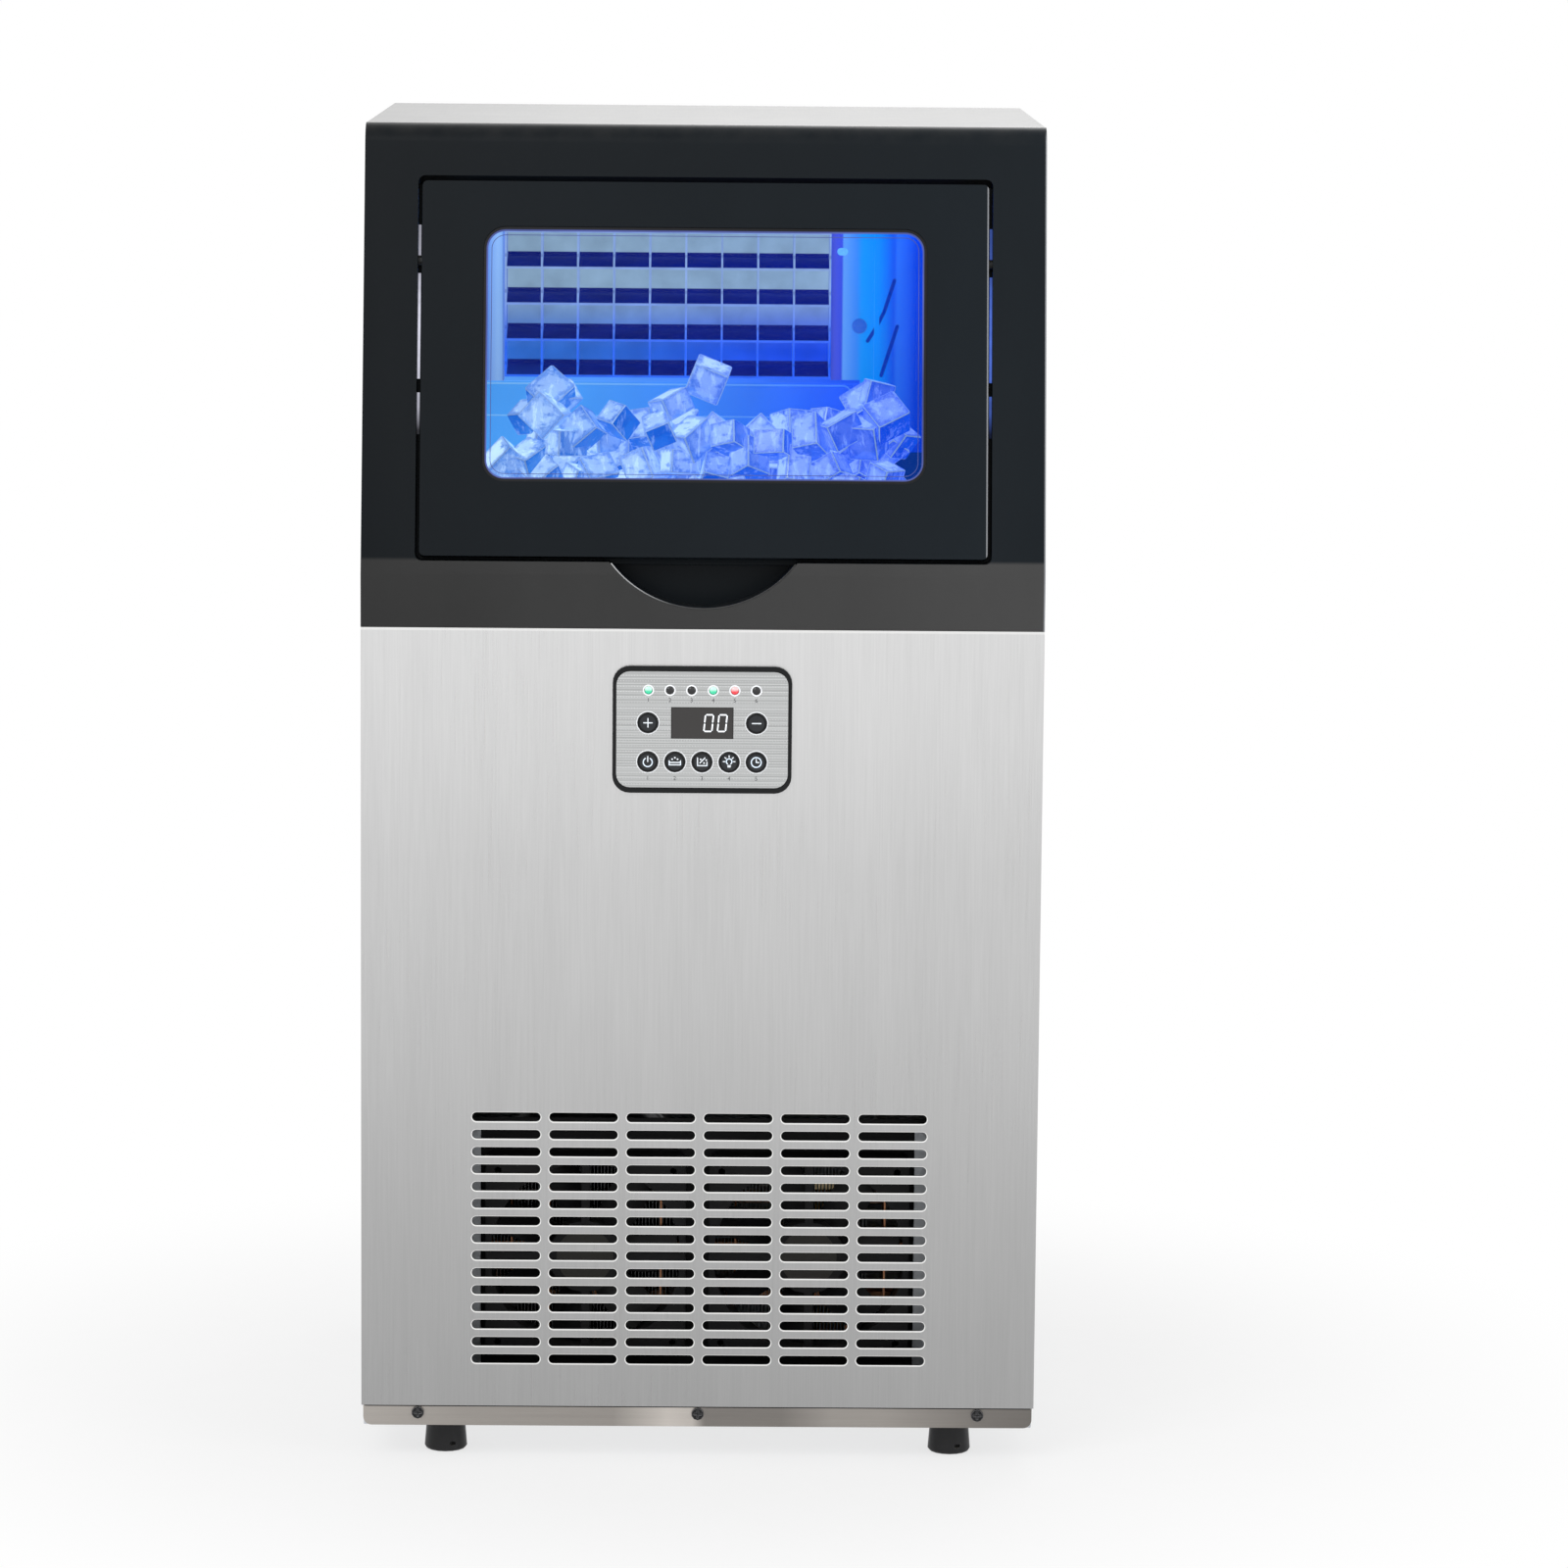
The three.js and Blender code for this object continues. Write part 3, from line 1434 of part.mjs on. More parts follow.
function inletValve() {
  const back = -sheet - gap;
  const front = back - inletBodyLength;
  const half = inletRadius + fittingFlange;
  const coilHeight = half + inletBodyLength;
  return fitting(inletRadius, inletBore, inletReach, join(
    block(-half, half, front, back, -half, half),
    block(-inletRadius, inletRadius, front, back - inletRadius, half - gap, coilHeight),
  ));
}

function cableGland() {
  const back = -sheet - gap;
  return fitting(glandRadius, glandBore, glandReach, bar(
    'y', glandRadius + fittingFlange, back - fittingThickness, back, 0, 0, tubeSides,
  ));
}

function drainSpigot() {
  const back = -sheet - gap;
  return fitting(spigotRadius, spigotBore, spigotReach, join(
    bar('y', spigotRadius + fittingFlange, back - fittingThickness, back, 0, 0, tubeSides),
    bar('y', barbRadius, back - barbLength, back, 0, 0, smallSides),
  ));
}

// Drain hose from the bin's drain down to the spigot's barb
function drainHose() {
  const top = binBottom - drainBossLength - gap;
  const end = recessFloor - sheet - gap - barbLength - gap;
  const r = hoseRadius;
  return pipe([
    [drainX, drainY, top],
    [drainX, drainY, top - 4 * r],
    [drainX, drainY, (top + fittingLevel) / 2],
    [drainX, drainY - r, fittingLevel + 8 * r],
    [drainX - 2 * r, drainY - 3 * r, fittingLevel + 2 * r],
    [fittingPitch, end - 4 * r, fittingLevel],
    [fittingPitch, end - 2 * r, fittingLevel],
    [fittingPitch, end, fittingLevel],
  ], r, hoseSides, drainSteps);
}

// Assembly
const iceMaker = new THREE.Group();

function finish(name, solid, colour, roughness, metalness, place = [0, 0, 0], parent = iceMaker) {
  const material = new THREE.MeshStandardMaterial({ color: colour, roughness, metalness });
  const mesh = new THREE.Mesh(geometryOf(solid), material);
  mesh.name = name;
  mesh.position.set(...place);
  parent.add(mesh);
}

const steel = [0xb9bbbd, 0.38, 1];
const galvanised = [0xc9cccf, 0.5, 1];
const blackPlastic = [0x26282a, 0.55, 0];
const whitePlastic = [0xe6eaee, 0.5, 0];
const copper = [0xb87348, 0.35, 1];

finish('base_pan', basePan(), ...galvanised);
finish('base_strip', baseStrip(), ...steel);
finish('front_panel', frontPanel(), ...steel);
finish('left_side_panel', sidePanel(-1), ...steel);
finish('right_side_panel', sidePanel(1), ...steel);
finish('rear_panel', rearPanel(), ...galvanised);
finish('top_panel', topPanel(), ...steel);
finish('deck', deck(), ...galvanised);
finish('fascia', fascia(), ...blackPlastic);
stripScrewPlaces().forEach(([name, x]) => {
  finish(name, stripScrew(), 0x1b1b1c, 0.4, 0.6, [x, stripFace - gap, stripScrewLevel]);
});
footPlaces().forEach(([name, x, y]) => {
  finish(name, levellingFoot(), 0x17181a, 0.6, 0, [x, y, 0]);
});

const door = new THREE.Group();
door.position.set(0, hingeY, hingeZ);
door.rotation.x = -lean;
iceMaker.add(door);
finish('door_frame', doorFrame(), ...blackPlastic, [0, 0, 0], door);
finish('door_window', doorWindow(), 0x7fb4ff, 0.08, 0, [0, 0, 0], door);
finish('door_pin_left', doorPin(-1), ...steel, [0, 0, 0], door);
finish('door_pin_right', doorPin(1), ...steel, [0, 0, 0], door);

finish('control_bezel', controlBezel(), 0x141517, 0.35, 0);
finish('control_plate', controlPlate(), 0xb4b7b9, 0.4, 0.6);
finish('display_window', displayWindow(), 0x2c2523, 0.15, 0);
finish('control_board', controlBoard(), 0x1f5a38, 0.5, 0);
buttonPlaces().forEach(([name, x, z]) => {
  finish(name, button(), 0x2c2e30, 0.45, 0, [x, plateFace, z]);
});
lampPlaces().forEach(([name, x, z]) => {
  finish(name, lamp(), 0xd8dde0, 0.2, 0, [x, plateFace, z]);
});

fanPlaces().forEach(([side, x]) => {
  finish(`fan_frame_${side}`, fanFrame(), 0x1c1d1f, 0.5, 0, [x, fanFront, fanLevel]);
  finish(`fan_rotor_${side}`, fanRotor(), 0x232527, 0.45, 0, [x, fanFront, fanLevel]);
});
finish('fan_plate', fanPlate(), ...galvanised);
finish('condenser', condenser(), 0x6f7376, 0.45, 0.9);
finish('compressor', compressor(), 0x18191b, 0.4, 0.3);
finish('filter_drier', filterDrier(), ...copper);
finish('hot_gas_valve', hotGasValve(), 0xb08d4a, 0.35, 0.9);
finish('suction_line', suctionLine(), ...copper);

finish('ice_bin', iceBin(), ...whitePlastic);
finish('light_strip', lightStrip(), 0x2a5cff, 0.3, 0);
finish('evaporator_tray', evaporatorTray(), 0xc4ccd2, 0.3, 0.9);
finish('evaporator_coil', evaporatorCoil(), ...copper);
finish('tray_frame', trayFrame(), ...whitePlastic);
finish('water_trough', waterTrough(), ...whitePlastic);
finish('ice_flap', iceFlap(), 0xdfe8f4, 0.35, 0, [flapLeft, flapAxisY, flapAxisZ]);
finish('water_pump', waterPump(), 0x2b2d30, 0.5, 0);
finish('water_spreader', waterSpreader(), ...whitePlastic);

finish('inlet_valve', inletValve(), 0x3a4f78, 0.5, 0, [-fittingPitch, recessFloor, fittingLevel]);
finish('cable_gland', cableGland(), 0x16171a, 0.5, 0, [0, recessFloor, fittingLevel]);
finish('drain_spigot', drainSpigot(), ...whitePlastic, [fittingPitch, recessFloor, fittingLevel]);
finish('drain_hose', drainHose(), 0xc8d2d4, 0.4, 0);

export default iceMaker;
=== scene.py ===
"""Undercounter ice maker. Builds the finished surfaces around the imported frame, in metres."""

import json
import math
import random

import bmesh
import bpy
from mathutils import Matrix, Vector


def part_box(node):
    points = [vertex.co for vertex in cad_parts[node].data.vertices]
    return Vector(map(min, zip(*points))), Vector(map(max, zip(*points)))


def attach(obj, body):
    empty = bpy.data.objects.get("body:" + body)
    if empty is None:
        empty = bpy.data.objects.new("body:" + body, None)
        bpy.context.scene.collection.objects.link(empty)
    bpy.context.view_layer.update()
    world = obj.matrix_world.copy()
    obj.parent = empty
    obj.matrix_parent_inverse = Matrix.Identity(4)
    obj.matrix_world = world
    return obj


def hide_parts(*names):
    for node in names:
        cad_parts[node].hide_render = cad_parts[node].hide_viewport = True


bl_info = {
    "name": "Undercounter ice maker",
    "version": (1, 0, 0),
    "blender": (4, 5, 0),
    "location": "3D View > Sidebar > Ice maker",
    "description": "Builds the casing, door, controls and machinery of an undercounter ice maker",
    "category": "Object",
}

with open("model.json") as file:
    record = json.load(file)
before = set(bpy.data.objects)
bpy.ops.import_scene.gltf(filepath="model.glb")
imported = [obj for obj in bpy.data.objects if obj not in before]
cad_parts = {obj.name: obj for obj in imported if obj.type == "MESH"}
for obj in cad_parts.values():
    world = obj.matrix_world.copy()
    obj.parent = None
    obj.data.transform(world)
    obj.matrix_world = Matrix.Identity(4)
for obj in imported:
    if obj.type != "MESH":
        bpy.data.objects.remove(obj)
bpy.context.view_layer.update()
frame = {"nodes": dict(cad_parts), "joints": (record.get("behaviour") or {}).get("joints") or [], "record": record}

MM = 0.001
SIDES = ("left", "right")
BODY_OF = {node: body for body, nodes in frame["record"]["behaviour"]["bodies"].items() for node in nodes}
SLOT_OF = {part["node"]: part["material_slot"] for part in frame["record"]["subparts"]}


class Span:
    """The box of a CAD node, as plain numbers."""

    def __init__(self, node):
        low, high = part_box(node)
        self.x0, self.y0, self.z0 = low
        self.x1, self.y1, self.z1 = high
        self.middle = (low + high) / 2
        self.size = high - low


def joint(name):
    """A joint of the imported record."""
    return next(j for j in frame["joints"] if j["name"] == name)


def shaded(colour, share):
    """A share of a colour."""
    return tuple(c * share for c in colour)


# Outlines and solids


def arc(u, v, radius, start, end, steps):
    """Points of an arc round (u, v), its angles in degrees."""
    turns = [math.radians(start + (end - start) * i / steps) for i in range(steps + 1)]
    return [(u + radius * math.cos(a), v + radius * math.sin(a)) for a in turns]


def circle(u, v, radius, steps):
    """Points of a whole circle."""
    return arc(u, v, radius, 0, 360, steps)[:-1]


def rectangle(u0, u1, v0, v1):
    """Outline of a plain rectangle, counterclockwise."""
    return [(u0, v0), (u1, v0), (u1, v1), (u0, v1)]


def rounded(u0, u1, v0, v1, radius, steps=8):
    """Outline of a rectangle with round corners, counterclockwise."""
    r = min(radius, (u1 - u0) / 2, (v1 - v0) / 2)
    corners = ((u1 - r, v0 + r, -90), (u1 - r, v1 - r, 0), (u0 + r, v1 - r, 90), (u0 + r, v0 + r, 180))
    return [point for u, v, turn in corners for point in arc(u, v, r, turn, turn + 90, steps)]


class Sketch:
    """Closed shapes, drawn one after another, that become one mesh.

    Outlines lie upright, as (x, z) pairs."""

    DOUBLES = 1e-7

    def __init__(self, mesh=None):
        self.bm = bmesh.new()
        if mesh:
            self.bm.from_mesh(mesh)

    def skin(self, loops):
        """Faces between outlines of equal length, each joined to the next."""
        for a, b in loops:
            for i in range(len(a)):
                self.bm.faces.new((a[i], a[i - 1], b[i - 1], b[i]))

    def plate(self, near, far):
        """A closed plate between two outlines, given as places."""
        ends = [[self.bm.verts.new(place) for place in outline] for outline in (near, far)]
        for end in ends:
            self.bm.faces.new(end)
        self.skin([ends])
        return self

    def slab(self, outline, near, far):
        """A closed plate that faces the front, between two depths."""
        return self.plate(*([(x, depth, z) for x, z in outline] for depth in (near, far)))

    def box(self, x0, x1, y0, y1, z0, z1):
        """A closed block between six planes."""
        return self.plate(*([(x, y, level) for x, y in rectangle(x0, x1, y0, y1)] for level in (z0, z1)))

    def loft(self, *rings):
        """A closed skin through outlines at their depths; the last one joins the first."""
        loops = [[self.bm.verts.new((x, depth, z)) for x, z in outline] for outline, depth in rings]
        self.skin(zip(loops, loops[1:] + loops[:1]))
        return self

    def ring(self, x, z, inner, outer, near, far, steps=32):
        """A flat ring that faces the front."""
        return self.loft(*((circle(x, z, radius, steps), depth)
                           for radius, depth in ((inner, near), (outer, near), (outer, far), (inner, far))))

    def stroke(self, points, width, near, far):
        """A drawn line: one bar with round ends along each stretch."""
        for (x0, z0), (x1, z1) in zip(points, points[1:]):
            turn = math.degrees(math.atan2(z1 - z0, x1 - x0))
            ends = ((x1, z1, turn - 90), (x0, z0, turn + 90))
            self.slab([point for x, z, start in ends
                       for point in arc(x, z, width / 2, start, start + 180, 6)], near, far)
        return self

    def turned(self, x, z, profile, steps=48):
        """A profile of (radius, depth) pairs turned about a line that points at the front."""
        centre = Vector((x, 0, z))
        rings = [[self.bm.verts.new(centre + Vector((a, depth, b)))
                  for a, b in (circle(0, 0, radius, steps) if radius else [(0, 0)])]
                 for radius, depth in profile]
        for near, far in zip(rings, rings[1:]):
            for i in range(steps):
                corners = dict.fromkeys((near[i % len(near)], near[i - 1 if len(near) > 1 else 0],
                                         far[i - 1 if len(far) > 1 else 0], far[i % len(far)]))
                if len(corners) > 2:
                    self.bm.faces.new(list(corners))
        return self

    def mesh(self):
        """The mesh, with its doubles merged and its faces pointing out."""
        bmesh.ops.remove_doubles(self.bm, verts=self.bm.verts, dist=self.DOUBLES)
        bmesh.ops.recalc_face_normals(self.bm, faces=self.bm.faces)
        return made_of(self.bm)


def made_of(bm):
    """A mesh of what a bmesh holds."""
    mesh = bpy.data.meshes.new("shape")
    bm.to_mesh(mesh)
    bm.free()
    return mesh


def box_mesh(*sides):
    """Mesh of one block."""
    return Sketch().box(*sides).mesh()


def evaluated(piece):
    """The mesh of an object after its modifiers."""
    graph = bpy.context.evaluated_depsgraph_get()
    return bpy.data.meshes.new_from_object(piece.evaluated_get(graph), depsgraph=graph)


def put(name, mesh):
    """An object for a mesh, in the scene."""
    piece = bpy.data.objects.new(name, mesh)
    bpy.context.scene.collection.objects.link(piece)
    return piece


def node_copy(node):
    """The merged mesh of a CAD node, with pairs of triangles joined where they lie flat."""
    doubles, flat = 1e-6, math.radians(0.4)
    bm = bmesh.new()
    bm.from_mesh(frame["nodes"][node].data)
    bmesh.ops.remove_doubles(bm, verts=bm.verts, dist=doubles)
    bmesh.ops.join_triangles(bm, faces=bm.faces, angle_face_threshold=flat, angle_shape_threshold=math.pi)
    return made_of(bm)


def carve(mesh, *cutters, operation="DIFFERENCE"):
    """The mesh after each closed cutter mesh is cut away from it, or joined to it."""
    piece = put("blank", mesh)
    tools = [put("tool", cutter) for cutter in cutters]
    for tool in tools:
        change = piece.modifiers.new("cut", "BOOLEAN")
        change.operation = operation
        change.solver = "EXACT"
        change.object = tool
    result = evaluated(piece)
    for spare in (piece, *tools):
        bpy.data.objects.remove(spare)
    return result


def finish(name, mesh, materials, body="cabinet", replaces=(), slot=None, bevel=0.3 * MM, segments=2,
           limit=30, edge_slot=-1):
    """Names the piece, rounds its edges, gives it its finish and sets it on its body."""
    mesh.name = name
    piece = put(name, mesh)
    mesh.materials.clear()
    for material in materials if isinstance(materials, list) else [materials]:
        mesh.materials.append(material)
    mesh.shade_smooth()
    if bevel:
        edge = piece.modifiers.new("Edges", "BEVEL")
        edge.width = bevel
        edge.segments = segments
        edge.limit_method = "ANGLE"
        edge.angle_limit = math.radians(limit)
        edge.miter_outer = "MITER_ARC"
        edge.material = edge_slot
        flat = piece.modifiers.new("Flat faces", "WEIGHTED_NORMAL")
        flat.mode, flat.weight = "FACE_AREA", 100
    else:
        mesh.set_sharp_from_angle(angle=math.radians(limit))
    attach(piece, body)
    if replaces:
        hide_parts(*replaces)
    return piece


def dress(node, materials, mesh=None, **edges):
    """A CAD node's own shape, or the one worked out for it, with its finish in its place."""
    return finish(node + "_finished", mesh or node_copy(node), materials, BODY_OF[node], [node],
                  SLOT_OF[node], **edges)


# Node trees


def labelled(values):
    """Values under the names of sockets, which have spaces."""
    return {name.replace("_", " "): value for name, value in values.items()}


class Nodes:
    """Adds nodes to a tree, with their inputs given as values or as other nodes' outputs."""

    # Nearly all of a noise lies between these
    NOISE_LOW, NOISE_HIGH = 0.3, 0.7

    def __init__(self, tree):
        self.tree = tree

    def fill(self, node, inputs):
        """Sets inputs to plain values or colours, or links outputs to them."""
        for name, value in inputs.items():
            socket = node.inputs[name]
            if isinstance(value, bpy.types.NodeSocket):
                self.tree.links.new(value, socket)
            elif socket.type == "RGBA" and len(value) == 3:
                socket.default_value = (*value, 1)
            else:
                socket.default_value = value
        return node

    def add(self, kind, inputs=None, **settings):
        node = self.tree.nodes.new(kind)
        for name, value in settings.items():
            setattr(node, name, value)
        return self.fill(node, inputs or {})

    def out(self, kind, inputs=None, **settings):
        """The first output of a new node."""
        return self.add(kind, inputs, **settings).outputs[0]

    def math(self, operation, *values, clamp=False):
        return self.out("ShaderNodeMath", dict(enumerate(values)), operation=operation, use_clamp=clamp)

    def plus(self, a, b):
        return self.math("ADD", a, b)

    def less(self, a, b):
        return self.math("SUBTRACT", a, b)

    def by(self, a, b):
        return self.math("MULTIPLY", a, b)

    def unsigned(self, value):
        """A value without its sign."""
        return self.math("ABSOLUTE", value)

    def vector(self, operation, *values):
        return self.out("ShaderNodeVectorMath", dict(enumerate(values)), operation=operation)

    def xyz(self, x=0.0, y=0.0, z=0.0):
        return self.out("ShaderNodeCombineXYZ", {0: x, 1: y, 2: z})

    def grey(self, value):
        """A value as a colour to multiply with."""
        return self.xyz(value, value, value)

    def mix(self, factor, a, b, blend="MIX"):
        """Colour a towards colour b."""
        inputs = {0: factor, 6: a, 7: b}
        return self.add("ShaderNodeMix", inputs, data_type="RGBA", blend_type=blend).outputs[2]

    def times(self, a, b):
        """Two colours multiplied."""
        return self.mix(1.0, a, b, "MULTIPLY")

    def span(self, value, low, high, out_low=0.0, out_high=1.0, smooth=False):
        """A value's place between two limits, given new limits."""
        kind = "SMOOTHSTEP" if smooth else "LINEAR"
        return self.out("ShaderNodeMapRange", {0: value, 1: low, 2: high, 3: out_low, 4: out_high},
                        interpolation_type=kind)

    def noise(self, place, scale, detail=2.0, roughness=0.5):
        return self.out("ShaderNodeTexNoise", {"Vector": place, "Scale": scale, "Detail": detail,
                                               "Roughness": roughness})

    def drift(self, noise, low, high):
        """A noise stretched to run between two values."""
        return self.span(noise, self.NOISE_LOW, self.NOISE_HIGH, low, high)

    def uneven(self, colour, scale, low, high, detail=2.0):
        """A colour that drifts from place to place between two shares of it."""
        return self.times(colour, self.grey(self.drift(self.noise(self.place(), scale, detail), low, high)))

    def stretch(self, place, x, y, z):
        """The place with each axis given its own scale."""
        return self.out("ShaderNodeMapping", {"Vector": place, "Scale": (x, y, z)})

    def ramp(self, value, stops):
        """Colours along a value, given as (value, colour) stops."""
        low, high = stops[0][0], stops[-1][0]
        node = self.add("ShaderNodeValToRGB", {0: self.span(value, low, high)})
        elements = node.color_ramp.elements
        while len(elements) < len(stops):
            elements.new(0.5)
        for element, (at, colour) in zip(elements, stops):
            element.position, element.color = (at - low) / (high - low), (*colour, 1)
        return node.outputs[0]

    def kept(self, name):
        """An attribute of the mesh."""
        return self.add("ShaderNodeAttribute", attribute_name=name).outputs

    def place(self):
        """The point's place on the object, in metres."""
        return self.add("ShaderNodeTexCoord").outputs["Object"]

    def split(self, vector):
        return self.add("ShaderNodeSeparateXYZ", {0: vector}).outputs

    def along(self, axis):
        """The point's place along one axis."""
        return self.split(self.place())["XYZ".index(axis)]

    def facing(self, axis, kind="Normal"):
        """How much the surface faces along one axis."""
        return self.split(self.add("ShaderNodeNewGeometry").outputs[kind])["XYZ".index(axis)]

    def effect(self, name, **inputs):
        """One of the shared effects."""
        return self.add("ShaderNodeGroup", labelled(inputs), node_tree=EFFECTS[name]).outputs

    def bumped(self, height, distance, strength):
        """A normal from a height."""
        return self.out("ShaderNodeBump", {"Height": height, "Distance": distance, "Strength": strength})


class Group(Nodes):
    """A node group of its own, with inputs that have defaults."""

    SOCKETS = {int: "Int", float: "Float", tuple: "Vector", str: "Material"}

    def __init__(self, kind, name, inputs):
        super().__init__(bpy.data.node_groups.new(name, kind))
        if kind == "GeometryNodeTree":
            self.socket("Geometry", "INPUT", "Geometry")
        for label, value in labelled(inputs).items():
            made = self.socket(label, "INPUT", self.SOCKETS[type(value)])
            if value != "":
                made.default_value = value
        self.given = self.add("NodeGroupInput").outputs

    def __getitem__(self, label):
        return self.given[label]

    def socket(self, label, way, kind):
        return self.tree.interface.new_socket(label, in_out=way, socket_type="NodeSocket" + kind)


class Effect(Group):
    """A shared effect of the finishes: a shader node group."""

    def __init__(self, name, **inputs):
        super().__init__("ShaderNodeTree", name, inputs)

    def end(self, **outputs):
        """Gives the group its outputs and closes it."""
        for label, value in outputs.items():
            self.socket(label, "OUTPUT", "Color" if value.type == "VECTOR" else "Float")
        self.fill(self.add("NodeGroupOutput"), outputs)
        return self.tree


class Finish(Nodes):
    """A new Principled finish."""

    def __init__(self, name):
        self.made = bpy.data.materials.new(name)
        self.made.use_nodes = True
        super().__init__(self.made.node_tree)
        self.shader = self.tree.nodes["Principled BSDF"]

    def end(self, **sockets):
        """Gives the shader its values and links, and closes the finish."""
        self.fill(self.shader, labelled(sockets))
        return self.made


# Shared effects


def brushed_effect():
    """Fine straight scratches, long along one axis, with slow shifts of tone."""
    n = Effect("Brushed grain", Along_X=900.0, Along_Y=900.0, Along_Z=6.0, Tone=0.05)
    slower, fine_share, broad_share = (0.06, 0.06, 0.3), 0.7, 0.3
    place = n.vector("MULTIPLY", n.place(), n.xyz(n["Along X"], n["Along Y"], n["Along Z"]))
    fine = n.noise(place, 1.0, 3.0, 0.65)
    broad = n.noise(n.vector("MULTIPLY", place, slower), 1.0, 2.0)
    smudge = n.noise(n.place(), 7.0, 4.0)
    grain = n.plus(n.by(fine, fine_share), n.by(broad, broad_share))
    shade = n.drift(grain, n.less(1.0, n["Tone"]), n.plus(1.0, n["Tone"]))
    return n.end(Height=grain, Shade=n.grey(shade), Roughness=n.plus(n.by(fine, 0.12), n.by(smudge, 0.1)))


def grain_effect():
    """Fine pebbled skin of a moulding, with faint wiping marks."""
    n = Effect("Moulded grain", Size=1400.0, Marks=0.06)
    pebble = n.noise(n.place(), n["Size"], 2.0, 0.6)
    marks = n.noise(n.stretch(n.place(), 14.0, 14.0, 5.0), 1.0, 4.0, 0.6)
    return n.end(Height=pebble, Roughness=n.by(n.less(marks, 0.5), n["Marks"]),
                 Shade=n.drift(marks, 0.94, 1.06))


def spangle_effect():
    """The frosted crystals of zinc coated sheet."""
    n = Effect("Zinc crystals", Size=130.0, Contrast=0.1)
    cells = n.add("ShaderNodeTexVoronoi", {"Vector": n.place(), "Scale": n["Size"]})
    tone = n.split(cells.outputs["Color"])[0]
    shade = n.span(tone, 0.0, 1.0, n.less(1.0, n["Contrast"]), n.plus(1.0, n["Contrast"]))
    return n.end(Shade=shade, Roughness=n.span(tone, 0.0, 1.0, -0.06, 0.06))


def rim_effect():
    """A painted highlight round each slot of a grille, on its pressed rim, wider below, where the light reaches
    it.
    """
    n = Effect("Slot rims", Columns=6.0, Rows=15.0, Column_pitch=0.0457, Row_pitch=0.01045, Lowest=0.0618,
               Length=0.0406, Height=0.0055, Width=0.00055, Drop=0.00025)
    solid_share = 0.7
    half = {name: n.by(n[name], 0.5) for name in ("Columns", "Rows", "Height")}
    column = n.plus(n.math("DIVIDE", n.along("X"), n["Column pitch"]), half["Columns"])
    row = n.plus(n.math("DIVIDE", n.less(n.along("Z"), n["Lowest"]), n["Row pitch"]), 0.5)
    across, up = (n.by(n.less(n.math("FRACT", cell), 0.5), n[pitch])
                  for cell, pitch in ((column, "Column pitch"), (row, "Row pitch")))
    straight = n.less(n.by(n["Length"], 0.5), half["Height"])
    past_end = n.math("MAXIMUM", n.less(n.unsigned(across), straight), 0.0)
    off_middle = n.plus(up, n["Drop"])
    reach = n.math("SQRT", n.plus(n.by(past_end, past_end), n.by(off_middle, off_middle)))
    rim = n.span(n.less(reach, half["Height"]), n["Width"], n.by(n["Width"], solid_share))
    for cell, name in ((column, "Columns"), (row, "Rows")):
        rim = n.by(rim, n.math("LESS_THAN", n.unsigned(n.less(cell, half[name])), half[name]))
    return n.end(Mask=rim)


def dust_effect():
    """Where dust settles: faces that look up, in soft patches."""
    n = Effect("Settled dust", Amount=0.2)
    patches = n.span(n.noise(n.place(), 60.0, 4.0), 0.35, 0.75)
    return n.end(Mask=n.by(n.by(n.span(n.facing("Z"), 0.2, 1.0), patches), n["Amount"]))


EFFECTS = {"brushed": brushed_effect(), "grain": grain_effect(), "spangle": spangle_effect(),
           "rim": rim_effect(), "dust": dust_effect()}


# Finishes


# Colours of the painted highlights round the slots and along the folds
PAINTED_RIM_HIGHLIGHT, PAINTED_FOLD_HIGHLIGHT = (1.0, 1.0, 0.98), (0.86, 0.86, 0.85)
STEEL_DUST, ZINC_DUST, PLASTIC_DUST = (0.5, 0.48, 0.45), (0.42, 0.4, 0.37), (0.35, 0.33, 0.3)
# Brushing: lines for each metre across and along the grain, and the depth of a scratch
ACROSS, ALONG, SCRATCH = 1100.0, 20.0, 0.02 * MM
# Levels between which the panels go from painted shade to plain, and from plain to a painted highlight
PAINTED_SHADE_LEVELS, PAINTED_HIGHLIGHT_LEVELS = (0.0, 0.45), (0.36, 0.5)
# Roughness that the brushed grain adds on average, and the zinc's own
GRAIN_ROUGHNESS, ZINC_ROUGHNESS = 0.11, 0.42
# How much of a surface that looks up the dust covers
STEEL_DUST_SHARE, ZINC_DUST_SHARE = 0.12, 0.3


